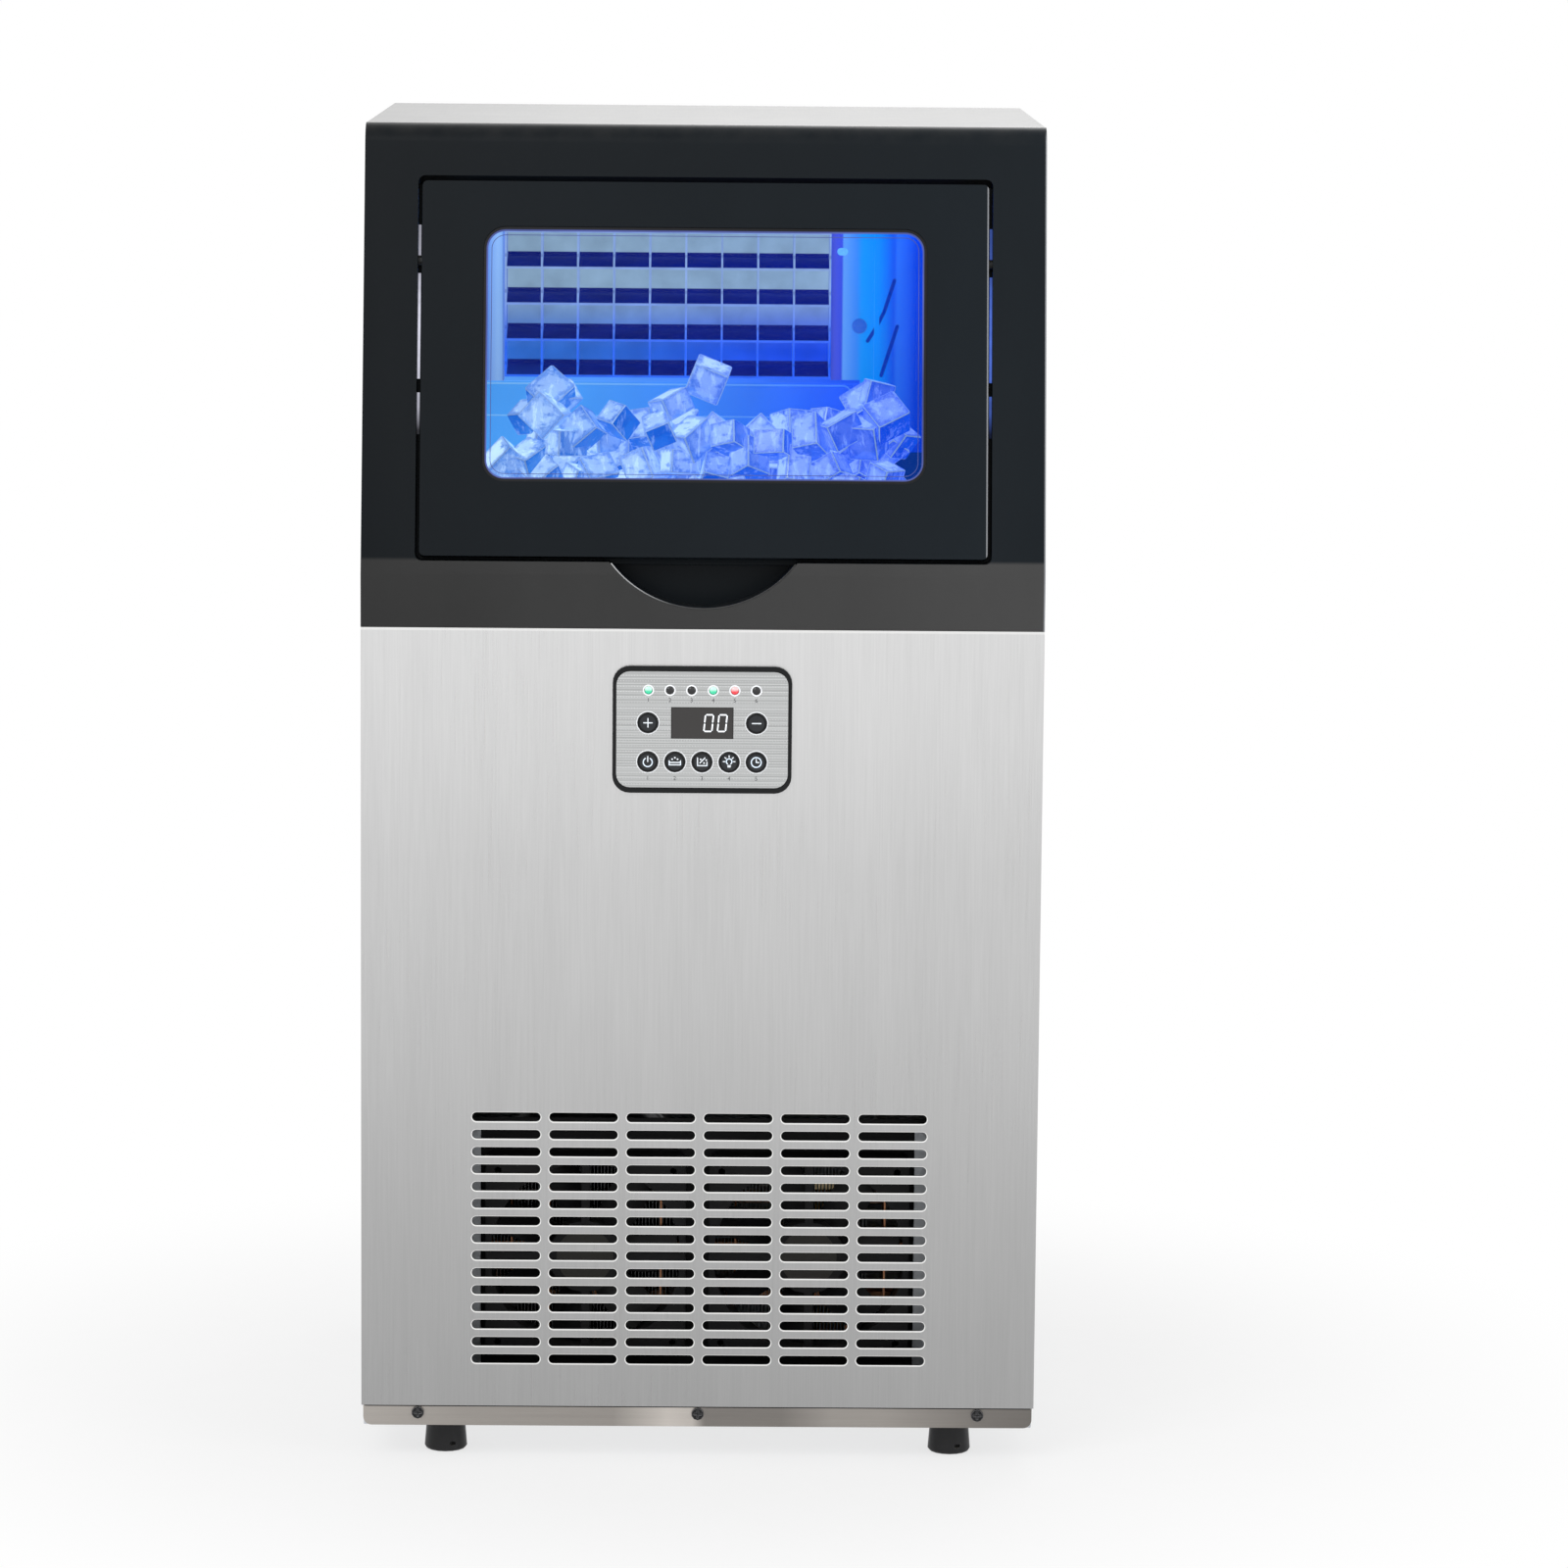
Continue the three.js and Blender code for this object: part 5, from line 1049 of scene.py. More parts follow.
# Painted light in the gaps beside the door: levels of its glowing strips, shares of its colour by level, its
# colours
GAP_PARTS = {"upper": (715 * MM, 733 * MM), "middle": (644 * MM, 705 * MM), "lower": (612 * MM, 636 * MM)}
GAP_GLOW = ((0.612, 0.03), (0.624, 0.4), (0.65, 0.75), (0.68, 0.8), (0.705, 0.45), (0.733, 0.35))
GAP_COLOURS = {"left": (0.86, 0.86, 1.0), "right": (0.1, 0.2, 0.8)}
# The strip over the bin's mouth: its depths behind the bin's front, its levels
TRIM_NEAR, TRIM_FAR, TRIM_LOW, TRIM_HIGH = 3.4 * MM, 6 * MM, 750.5 * MM, 761 * MM
# The finger scoop: its chord, its depth, the edges of its bead from the rim, and how far the bead is sunk
SCOOP_CHORD, SCOOP_DROP, BEAD_OUTER, BEAD_INNER = 110 * MM, 27.4 * MM, 0.15 * MM, 0.85 * MM
BEAD_NEAR, BEAD_FAR = 0.1 * MM, 0.9 * MM
# Painted highlight along the scoop's bead: place across in metres, share
SCOOP_TONES = ((-0.055, 1.0), (-0.04, 0.7), (-0.018, 0.1), (0.055, 0.03))


def to_door(level):
    """A level of the leaning face as a distance along the door from its pins."""
    return (level - PIN_LEVEL) / math.cos(LEAN)


def on_door(sketch):
    """The mesh of what is drawn on the door's own face, set in its place."""
    mesh = sketch.mesh()
    mesh.transform(DOOR)
    return mesh


def gap_light(name, colour):
    """Glowing strip in the gap beside the door: painted light that stands in for the bin's light showing through,
    brightest half way up.
    """
    n = Finish(name)
    glow = n.ramp(n.along("Z"), [(level, shaded(colour, share)) for level, share in GAP_GLOW])
    return n.end(Roughness=0.3, Specular_IOR_Level=0.15, Base_Color=(0.02, 0.02, 0.03),
                 Emission_Strength=1.0, Emission_Color=n.uneven(glow, 200.0, 0.9, 1.1))


def scoop_edge(front):
    """A thin bead round the finger scoop with a painted highlight at its upper left that fades to dark at the
    right.
    """
    radius = (SCOOP_DROP ** 2 + (SCOOP_CHORD / 2) ** 2) / (2 * SCOOP_DROP)
    middle = OPENING_LOW - SCOOP_DROP + radius
    half = math.degrees(math.asin(SCOOP_CHORD / 2 / radius)) - 1
    outline = (arc(0, middle, radius - BEAD_OUTER, -90 - half, -90 + half, 32)
               + arc(0, middle, radius - BEAD_INNER, -90 + half, -90 - half, 32))
    sketch = Sketch().slab(outline, front + BEAD_NEAR, front + BEAD_FAR)
    for point in sketch.bm.verts:
        point.co.y += max(point.co.z - BAND_TOP, 0) * math.tan(LEAN)
    bead = steel("Scoop edge", (0.55, 0.56, 0.57), along="X", rough=0.3, metal=0.0, tones=SCOOP_TONES)
    finish("scoop_edge", sketch.mesh(), bead, slot="black_plastic", bevel=0.15 * MM)


class BuildFascia(bpy.types.Operator):
    """Builds the black fascia with its door opening and finger scoop"""

    bl_idname = "ice_maker.fascia"
    bl_label = "Fascia"

    def execute(self, context):
        front = context.scene.ice_maker.front
        plastic = moulded("Black plastic", front.plastic, rough=0.38, dust=0.05, gloss=0.1)
        # The fascia has a painted reflection on its band under the door, a painted highlight on its right edge,
        # and is painted darker at the left and lighter at the right
        banded = moulded("Fascia plastic", front.plastic, rough=0.38, dust=0.05, gloss=0.11,
                         lit=(Span("fascia").x1, front.lit), foot=(OPENING_LOW + MM, BAND_FRONT, front.band))
        dress("fascia", banded, bevel=front.rounding, segments=3, limit=35)
        low, neck, top = (to_door(level) for level in (OPENING_LOW, STOP_NECK, STOP_TOP))
        narrow, wide = STOP_HALF - STOP_NARROW, STOP_HALF - STOP_REACH
        right = [(STOP_HALF, low), (STOP_HALF, top), (narrow, top), (narrow, neck), (wide, neck),
                 (wide, low + STOP_REACH)]
        stop = Sketch().slab(right + [(-x, z) for x, z in reversed(right)], STOP_NEAR, STOP_FAR)
        finish("door_stop", on_door(stop), plastic, slot="black_plastic", bevel=0.4 * MM)
        # Painted light: glowing strips in the gaps beside the door
        for side, sign in zip(SIDES, (-1, 1)):
            line = gap_light("Light in the gap, " + side, GAP_COLOURS[side])
            x0, x1 = sorted((sign * (STOP_HALF - 0.2 * MM), sign * (STOP_HALF - 1.7 * MM)))
            for part, levels in GAP_PARTS.items():
                strip = Sketch().slab(rectangle(x0, x1, *map(to_door, levels)), STOP_NEAR - 0.6 * MM,
                                      STOP_NEAR - 0.05 * MM)
                name = "gap_light_" + part + "_" + side
                finish(name, on_door(strip), line, slot="clear_pane", bevel=0.1 * MM)
        scoop_edge(Span("fascia").y0)
        mouth = Span("ice_bin").y0
        trim = box_mesh(-STOP_HALF, STOP_HALF, mouth + TRIM_NEAR, mouth + TRIM_FAR, TRIM_LOW, TRIM_HIGH)
        finish("mouth_trim", trim, plastic, slot="black_plastic", bevel=0.4 * MM)
        return {"FINISHED"}


# Door


WINDOW = (-130 * MM, 130 * MM, to_door(584 * MM), to_door(731 * MM))
WINDOW_CORNER = 13 * MM


def window_outline(inset):
    """The window's edge, drawn in by an inset."""
    x0, x1, z0, z1 = WINDOW
    return rounded(x0 + inset, x1 - inset, z0 + inset, z1 - inset, WINDOW_CORNER - inset, 12)


def glass(name, colour):
    """Clear plastic pane."""
    n = Finish(name)
    smear = n.noise(n.stretch(n.place(), 9.0, 9.0, 22.0), 1.0, 4.0)
    return n.end(IOR=1.08, Base_Color=colour, Transmission_Weight=1.0,
                 Roughness=n.span(smear, 0.4, 0.8, 0.0, 0.03))


def lit_line(name, colour, strength):
    """Painted light: a glowing line round the window, standing in for light carried in the edge of the clear
    plastic.
    """
    n = Finish(name)
    return n.end(Roughness=0.3, Emission_Strength=strength, Specular_IOR_Level=0.15,
                 Base_Color=(0.02, 0.025, 0.06), Emission_Color=n.uneven(colour, 16.0, 0.55, 1.1))


class BuildDoor(bpy.types.Operator):
    """Builds the door frame, the clear pane with the painted glowing lines round it, and the two pins"""

    bl_idname = "ice_maker.door"
    bl_label = "Door"

    def execute(self, context):
        front = context.scene.ice_maker.front
        # The door frame gets a painted highlight on its right edge, and painted shade and light across it
        plastic = moulded("Black door plastic", front.door, rough=0.34, dust=0.04, gloss=0.11,
                          lit=(Span("door_frame").x1, front.lit))
        dress("door_frame", plastic, bevel=front.rounding, segments=3, limit=35)
        dress("door_window", glass("Clear pane", front.pane), bevel=0.4 * MM)
        pin = moulded("Pin plastic", front.plastic, rough=0.4)
        for side in SIDES:
            dress("door_pin_" + side, pin)
        rim = moulded("Window rim", (0.008, 0.008, 0.01), rough=0.3, gloss=0.25)
        # The lines round the window glow: painted light
        outer_line = lit_line("Window line", front.seal, 0.42)
        inner_line = lit_line("Window inner line", front.seal, 0.35)
        for name, line, outer, inner, near, far in (
                ("window_rim", rim, 0.0, 1.7, 1.2, 3.2),
                ("window_edge_line", outer_line, 1.7, 2.6, 1.8, 3.1),
                ("window_inner_line", inner_line, 4.6, 5.0, 2.8, 3.1)):
            rings = [(window_outline(inset * MM), DOOR_FACE + depth * MM)
                     for inset, depth in ((outer, near), (inner, near), (inner, far), (outer, far))]
            finish(name, on_door(Sketch().loft(*rings)), line, "door", slot="clear_pane", bevel=0.12 * MM)
        return {"FINISHED"}


# Control panel


PLATE, DISPLAY = Span("control_plate"), Span("display_window")
MARK_DEPTH, FIGURE_HEIGHT = 0.06 * MM, 3.4 * MM
BUTTON_RADIUS, BUTTON_FACETS = 6 * MM, 48
BOTTOM_ROW = ("power", "rinse", "harvest", "light", "timer")
LENSES = {"lamp_green": ((0.03, 0.45, 0.25), 0.9), "lamp_red": ((0.6, 0.03, 0.04), 0.9),
          "lamp_off": ((0.02, 0.02, 0.022), 0.02)}
# Profile of a button's dish and rim: share of the radius, depth behind its top in millimetres
BUTTON_PROFILE = ((0, 0.55), (0.45, 0.5), (0.78, 0.25), (0.8, 0.05), (0.86, 0), (0.94, 0.02), (1, 0.25))
DISH_SHARE = 0.79
BULB_RAYS = [[(reach * math.cos(a), 0.3 + reach * math.sin(a)) for reach in (1.9, 2.6)]
             for a in map(math.radians, (0, 45, 90, 135, 180))]
# Lines and dots of the buttons' marks round their middles, before they are scaled
MARK_SCALE, MARK_LINE, MARK_DOT, MARK_HEIGHT = 1.32 * MM, 0.62 * MM, 0.5 * MM, 0.35 * MM
MARKS = {
    "plus": ([[(-1.9, 0), (1.9, 0)], [(0, -1.9), (0, 1.9)]], []),
    "minus": ([[(-1.9, 0), (1.9, 0)]], []),
    "power": ([arc(0, -0.2, 2.0, 122, 418, 20), [(0, 0.1), (0, 2.4)]], []),
    "rinse": ([[(-2.5, 0.5), (-2.5, -1.3), (2.5, -1.3), (2.5, 0.5)], [(-2.5, -0.2), (2.5, -0.2)]],
              [(-1.2, 1.2), (0, 1.9), (1.2, 1.2)]),
    "harvest": ([[(-2.0, 1.9), (-2.0, -1.6), (2.2, -1.6), (2.2, 0)], [(-0.9, -0.4), (1.3, 1.9)]],
                [(-0.6, 1.2), (0.9, -0.4), (1.9, 0.9)]),
    "light": ([arc(0, 0.3, 1.25, -55, 235, 18), [(-0.6, -1.5), (0.6, -1.5)], [(-0.5, -2.1), (0.5, -2.1)],
               *BULB_RAYS], []),
    "timer": ([arc(0, 0, 2.2, 0, 360, 28), [(0, 1.4), (0, 0), (1.2, 0)]], []),
}
# The display's zeros: size, width of a bar and its lean, and the six bars as ends in halves of the size
DIGIT_WIDTH, DIGIT_HEIGHT, DIGIT_BAR, DIGIT_LEAN = 4.7 * MM, 9.8 * MM, 0.75 * MM, 0.1
DIGIT_PLACES = (8.6 * MM, 16.6 * MM)
BARS = (((0, 1), (1, 1)), ((1, 1), (1, 0)), ((1, 0), (1, -1)), ((0, -1), (1, -1)), ((0, 0), (0, -1)),
        ((0, 1), (0, 0)))
# Print of the plate: stripes for each metre, then waves of shade and of dots in radians for each metre
STRIPES, SHADE_WAVES, DOT_WAVES_ACROSS, DOT_WAVES_UP = 620.0, 4200.0, 1939.0, 982.0


def mark_mesh(kind, x, z, face):
    """The lines and dots of a button's mark."""
    lines, dots = MARKS[kind]
    sketch, top = Sketch(), face + MARK_HEIGHT
    for line in lines:
        sketch.stroke([(x + u * MARK_SCALE, z + v * MARK_SCALE) for u, v in line], MARK_LINE, face, top)
    for u, v in dots:
        sketch.slab(circle(x + u * MARK_SCALE, z + v * MARK_SCALE, MARK_DOT, 16), face, top)
    return sketch.mesh()


def draw_zero(sketch, x, z, near, far):
    """A zero of six lit bars, leaning a little."""
    half = DIGIT_HEIGHT / 2
    for bar in BARS:
        start, end = (Vector((x + u * DIGIT_WIDTH + v * half * DIGIT_LEAN, z + v * half)) for u, v in bar)
        gap = (end - start).normalized() * DIGIT_BAR * 0.95
        sketch.stroke([tuple(start + gap), tuple(end - gap)], DIGIT_BAR, near, far)


def plate_finish(colour):
    """Silver foil printed with fine stripes and faint dotted rows."""
    n = Finish("Striped silver plate")
    lines = n.noise(n.stretch(n.place(), 0.0, 0.0, STRIPES), 1.0, 2.0, 0.8)
    wide, across, up = (n.math("SINE", n.by(n.along(axis), waves)) for axis, waves in (
        ("Z", SHADE_WAVES), ("X", DOT_WAVES_ACROSS), ("Z", DOT_WAVES_UP)))
    stripes = n.span(n.plus(lines, n.by(wide, 0.08)), 0.38, 0.62)
    dots = n.by(n.span(n.unsigned(across), 0.9, 0.96), n.span(n.unsigned(up), 0.95, 0.98))
    pale = n.mix(stripes, shaded(colour, 0.8), shaded(colour, 1.2))
    return n.end(Metallic=0.75, Base_Color=n.mix(n.by(dots, 0.6), pale, (0.95, 0.96, 0.97)),
                 Roughness=n.span(stripes, 0.0, 1.0, 0.34, 0.26))


def lamp_finish(name, colour, strength, level):
    """A lit lens: its colour low down, and a painted highlight that turns it nearly white above its middle."""
    n = Finish(name)
    # Painted highlight: nearly white above the lens's middle
    pale = n.span(n.along("Z"), level - MM, level + MM, smooth=True)
    spark = n.drift(n.noise(n.place(), 1400.0), -0.12, 0.12)
    white = tuple(0.75 + 0.25 * c for c in colour)
    return n.end(Roughness=0.15, Emission_Strength=strength, Base_Color=colour,
                 Emission_Color=n.mix(n.math("ADD", pale, spark, clamp=True), colour, white))


def figure(text, x, z, name, ink):
    """A small printed figure on the plate."""
    curve = bpy.data.curves.new(name, "FONT")
    curve.body, curve.size, curve.extrude = text, FIGURE_HEIGHT, MARK_DEPTH / 2
    curve.align_x = "CENTER"
    holder = put(name + "_text", curve)
    mesh = evaluated(holder)
    bpy.data.objects.remove(holder)
    mesh.transform(Matrix.Translation((x, PLATE.y0, z)) @ Matrix.Rotation(math.pi / 2, 4, "X"))
    finish(name, Sketch(mesh).mesh(), ink, slot="silver_plate", bevel=0)


def button(name, materials, mark):
    """A push button with its dish, rim and mark. Gives its middle and its lower end."""
    node = "button_" + name
    span = Span(node)
    x, z, top = span.middle.x, span.middle.z, span.y0
    profile = [(BUTTON_RADIUS * share, top + depth * MM) for share, depth in BUTTON_PROFILE]
    profile += [(BUTTON_RADIUS, span.y1), (0, span.y1)]
    mesh = Sketch().turned(x, z, profile, BUTTON_FACETS).mesh()
    on_rim = [int(math.hypot(side.center.x - x, side.center.z - z) >= BUTTON_RADIUS * DISH_SHARE
                  or side.center.y >= top + MM) for side in mesh.polygons]
    dress(node, materials, mesh, bevel=0).data.polygons.foreach_set("material_index", on_rim)
    finish(node + "_mark", mark_mesh(name, x, z, top + 0.3 * MM), mark, BODY_OF[node], slot="button_cap",
           bevel=0)
    return x, z, span.z0


class BuildControls(bpy.types.Operator):
    """Builds the control panel: bezel, plate, display, board, lamps and push buttons"""

    bl_idname = "ice_maker.controls"
    bl_label = "Control panel"

    def execute(self, context):
        front = context.scene.ice_maker.front
        black = moulded("Bezel plastic", shaded(front.plastic, 0.3), rough=0.25, grain=2200.0, gloss=0.3)
        screen = moulded("Display glass", (0.022, 0.019, 0.018), rough=0.12, coat=0.4)
        dress("control_bezel", black, bevel=0.7 * MM, segments=3)
        dress("control_plate", plate_finish(front.plate), bevel=0.1 * MM)
        dress("display_window", screen, bevel=0.15 * MM)
        dress("control_board", moulded("Circuit board", (0.01, 0.09, 0.035), rough=0.4, grain=900.0))
        zeros, near, far = Sketch(), DISPLAY.y0 - MARK_DEPTH, DISPLAY.y0 + MARK_DEPTH
        for place in DIGIT_PLACES:
            draw_zero(zeros, DISPLAY.x1 - place, DISPLAY.middle.z, near, far)
        lit_digit = shining("Lit digits", (0.9, 0.95, 1.0), 0.85)
        finish("display_digits", zeros.mesh(), lit_digit, slot="dark_display", bevel=0)

        # The white rings printed round the buttons and lamps glow faintly: painted glow
        halo = shining("White print", (0.9, 0.92, 0.95), 0.25)
        ink = print_finish("Dark print", (0.05, 0.05, 0.055))
        cap = moulded("Button cap", shaded(front.cap, 1.3), rough=0.38, grain=2600.0, gloss=0.3)
        rim = moulded("Button rim", shaded(front.cap, 0.25), rough=0.3, gloss=0.25)
        # The buttons' marks glow faintly: painted glow
        mark = shining("Button mark", front.mark, 0.35)
        rings, near, far = Sketch(), PLATE.y0 - MARK_DEPTH, PLATE.y0 + MARK_DEPTH
        lower_ends = []
        for name in ("plus", "minus", *BOTTOM_ROW):
            x, z, low = button(name, [cap, rim], mark)
            lower_ends.append((x, low))
            rings.ring(x, z, BUTTON_RADIUS + 0.3 * MM, BUTTON_RADIUS + 0.85 * MM, near, far, 40)
        for i in range(1, 7):
            node = "indicator_%d" % i
            middle = Span(node).middle
            rings.ring(middle.x, middle.z, 2.55 * MM, 3.3 * MM, near, far)
            dress(node, lamp_finish("Lamp %d" % i, *LENSES[SLOT_OF[node]], middle.z), bevel=0)
            figure(str(i), middle.x, middle.z - 6.9 * MM, "lamp_figure_%d" % i, ink)
        finish("white_rings", rings.mesh(), halo, slot="silver_plate", bevel=0)
        for i, (x, low) in enumerate(lower_ends[-len(BOTTOM_ROW):], 1):
            figure(str(i), x, low - 4.1 * MM, "button_figure_%d" % i, ink)
        return {"FINISHED"}


# Fans and condenser


BLADES, HUB, TIP = 7, 21 * MM, 55 * MM
CHORD, CAMBER, BLADE_SHEET = 27 * MM, 3 * MM, 1.8 * MM
# Degrees between a blade and the fan's plane at its root, and how much less at its tip
PITCH, TWIST = 38, 12
LABEL_RADIUS = 17 * MM
BRACKET_WIDTH = 23 * MM
FINS, FIN_PITCH, FIN_SHEET, FIN_INSET = 118, 2.08 * MM, 0.22 * MM, 12 * MM


def blade_mesh():
    """One fan blade reaching along +X: a curved section that twists flatter towards its tip."""
    sketch, rings, steps, root = Sketch(), [], 5, HUB - MM
    for i in range(steps + 1):
        share = i / steps
        turn = math.radians(PITCH - TWIST * share)
        sine, cosine = math.sin(turn), math.cos(turn)
        width = CHORD * (0.8 + 0.2 * math.sin(math.pi * share))
        sweep = 0.14 * CHORD * share ** 2
        section = []
        for side in (1, -1):
            for j in range(steps + 1):
                along = (j / steps - 0.5) * side
                bow = CAMBER * (1 - 4 * along * along) + side * BLADE_SHEET / 2 * (1 - 3.2 * along * along)
                u = along * width + sweep
                section.append((u * sine + bow * cosine, u * cosine - bow * sine))
        rings.append([sketch.bm.verts.new((root + (TIP - root) * share, y, z)) for y, z in section])
    sketch.skin(zip(rings, rings[1:]))
    for end in (rings[0], rings[-1]):
        sketch.bm.faces.new(end)
    return sketch.mesh()


class BuildAirflow(bpy.types.Operator):
    """Builds the fan plate, the two fans and the condenser"""

    bl_idname = "ice_maker.airflow"
    bl_label = "Fans and condenser"

    def execute(self, context):
        metal = zinc("Fan bracket zinc", context.scene.ice_maker.casing.zinc, 110.0)
        dress("fan_plate", moulded("Dark plate", (0.011, 0.011, 0.012), rough=0.5, gloss=0.25))
        plate = Span("fan_plate")
        for side, x0 in zip(SIDES, (plate.x0, plate.x1 - BRACKET_WIDTH)):
            bracket = box_mesh(x0, x0 + BRACKET_WIDTH, plate.y0 - 1.5 * MM, plate.y0 - 0.3 * MM,
                               plate.z0 + 2 * MM, plate.z1 - 4 * MM)
            finish("fan_bracket_" + side, bracket, metal, slot="galvanised")
        black = moulded("Fan plastic", (0.008, 0.008, 0.009), rough=0.42, gloss=0.25)
        label = print_finish("Bare hub label", (0.022, 0.02, 0.016))
        blade = blade_mesh()
        for side in SIDES:
            dress("fan_frame_" + side, black, bevel=0.5 * MM)
            node, frame_front = "fan_rotor_" + side, Span("fan_frame_" + side).y0
            rotor = Span(node)
            centre, front, back = rotor.middle, rotor.y0, rotor.y1
            hub = [(0, front), (HUB * 0.9, front), (HUB, front + 1.5 * MM), (HUB, back - MM),
                   (HUB * 0.95, back), (0, back)]
            blades = grow("spin", blade, Count=BLADES, Centre=tuple(centre), Finish=black)
            dress(node, black, Sketch(blades).turned(centre.x, centre.z, hub, 40).mesh(), bevel=0)
            near, far = frame_front - 0.15 * MM, frame_front + 0.2 * MM
            disc = [(0, near), (LABEL_RADIUS, near), (LABEL_RADIUS, far), (0, far)]
            finish("fan_label_" + side, Sketch().turned(centre.x, centre.z, disc, 40).mesh(), label,
                   slot="black_plastic", bevel=0)
        dress("condenser", steel("Copper tube", (0.5, 0.24, 0.13), along="X", rough=0.35))
        coil = Span("condenser")
        foil = zinc("Condenser fins", (0.3, 0.31, 0.32), 300.0)
        fins = grow("fins", NOTHING, Count=FINS, Start=(coil.x0 + FIN_INSET, coil.middle.y, coil.middle.z),
                    Step=(FIN_PITCH, 0, 0), Width=FIN_SHEET, Depth=coil.size.y - 3 * MM,
                    Length=coil.size.z - 3 * MM, Corner=0.02 * MM, Finish=foil)
        finish("condenser_fins", fins, foil, slot="fins", bevel=0)
        return {"FINISHED"}


# Refrigeration and rear fittings


class BuildRefrigeration(bpy.types.Operator):
    """Builds the compressor, the drier, the valves and the copper lines"""

    bl_idname = "ice_maker.refrigeration"
    bl_label = "Refrigeration"

    def execute(self, context):
        enamel = moulded("Black enamel", (0.012, 0.012, 0.013), rough=0.18, grain=500.0, depth=0.06 * MM,
                         dust=0.35, coat=0.3)
        copper = steel("Copper line", (0.75, 0.36, 0.2), rough=0.28)
        dress("compressor", enamel, bevel=0.5 * MM)
        dress("filter_drier", copper)
        dress("suction_line", copper)
        dress("hot_gas_valve", steel("Brass fitting", (0.7, 0.5, 0.2), rough=0.3))
        return {"FINISHED"}


class BuildFittings(bpy.types.Operator):
    """Builds the water inlet, the drain spigot and hose, the cable gland and the feet"""

    bl_idname = "ice_maker.fittings"
    bl_label = "Fittings and feet"

    def execute(self, context):
        white = moulded("White fitting plastic", (0.7, 0.7, 0.68), rough=0.35, grain=900.0)
        rubber = moulded("Foot rubber", (0.011, 0.011, 0.012), rough=0.42, grain=700.0, depth=0.1 * MM,
                         dust=0.3, gloss=0.3)
        dress("inlet_valve", white)
        dress("drain_spigot", white)
        dress("drain_hose", moulded("Hose", (0.45, 0.46, 0.45), grain=600.0))
        dress("cable_gland", moulded("Gland plastic", (0.015, 0.015, 0.016), rough=0.4))
        for node in ("foot_%s_%s" % (end, side) for end in ("front", "rear") for side in SIDES):
            span = Span(node)
            x, z = span.middle.x + 0.18 * span.size.x, span.z0 + 5 * MM
            pin_hole = rounded(x - 1.5 * MM, x + 1.5 * MM, z - MM, z + MM, 0.9 * MM)
            foot = carve(node_copy(node), Sketch().slab(pin_hole, span.y0 - MM, span.y1 + MM).mesh())
            dress(node, rubber, foot, bevel=0.5 * MM, limit=35)
        return {"FINISHED"}


# Inside of the ice room


# The corners between which the painted light's colour drifts
ROOM_LEFT, ROOM_RIGHT, ROOM_LOW, ROOM_HIGH = -0.13, 0.16, 0.57, 0.74
# Distances from the middle between which the painted light turns dark behind the door's frame: painted shade
DARK_SIDE = (0.14, 0.158)
# Level of the painted shadow on the liner, the height of its edge, and the painted light's share below it
LINER_SHADOW, SHADOW_EDGE, SHADOW_SHARE = 0.5985, 1.2 * MM, 0.4
# How much the painted light drifts from place to place
STREAK = 0.12
TRAY_PITCH = 22 * MM
# Painted light across the tray's frame and its cover: level along X in metres, colour
COVER_LIGHT = ((-0.134, (0.05, 0.18, 0.8)), (-0.131, (0.22, 0.42, 0.93)), (-0.1265, (0.3, 0.53, 0.97)),
               (-0.1235, (0.24, 0.45, 0.93)), (-0.1228, (0.03, 0.08, 0.5)), (0.0, (0.02, 0.05, 0.5)),
               (0.0755, (0.05, 0.07, 0.5)), (0.079, (0.06, 0.09, 0.75)), (0.083, (0.04, 0.08, 0.8)),
               (0.0835, (0.12, 0.36, 0.98)), (0.092, (0.04, 0.25, 0.96)), (0.0955, (0.0, 0.3, 1.0)),
               (0.106, (0.0, 0.25, 1.0)), (0.115, (0.004, 0.08, 0.85)), (0.1165, (0.02, 0.16, 0.93)),
               (0.124, (0.01, 0.1, 0.88)), (0.1285, (0.0, 0.05, 0.75)), (0.178, (0.0, 0.04, 0.5)))
# Painted light along the bin's walls: level along X in metres, colour
WALL_LIGHT = ((-0.18, (0.2, 0.45, 0.9)), (-0.14, (0.3, 0.6, 0.98)), (-0.1, (0.26, 0.55, 0.98)),
              (-0.05, (0.06, 0.26, 0.95)), (0.03, (0.01, 0.13, 0.95)), (0.1, (0.005, 0.07, 0.95)),
              (0.13, (0.005, 0.12, 0.95)), (0.18, (0.0, 0.1, 0.7)))
# Details of the cover at the right of the tray, in millimetres across and up
COVER_GROOVES = ([(115, 692), (112.5, 684), (109, 673), (104, 663), (99, 655)],
                 [(117, 664), (114.5, 656), (111, 645), (107.5, 634)])
# The cover's screw, and the edges of a painted highlight spot on the cover
COVER_SCREW, COVER_HIGHLIGHT = (94, 664), (80, 86.5, 707, 711.5)
SCREW_PROFILE = ((0, -2.2), (2.0, -2.1), (3.6, -1.5), (4.0, -0.6), (4.0, 0.2), (0, 0.2))
# Height of the heap of ice along the window, in millimetres from the middle and above the floor line
HEAP = ((-178, 560), (-128, 585), (-119, 604), (-108, 616), (-98, 630), (-84, 635), (-74, 624), (-66, 613),
        (-52, 621), (-36, 616), (-3, 615), (10, 613), (25, 622), (39, 607), (50, 619), (62, 615), (78, 618),
        (90, 630), (104, 634), (114, 622), (121, 592), (178, 560))
# Behind this depth the heap falls by this share of the way
HEAP_BACK, HEAP_FALL = -0.075, 0.9
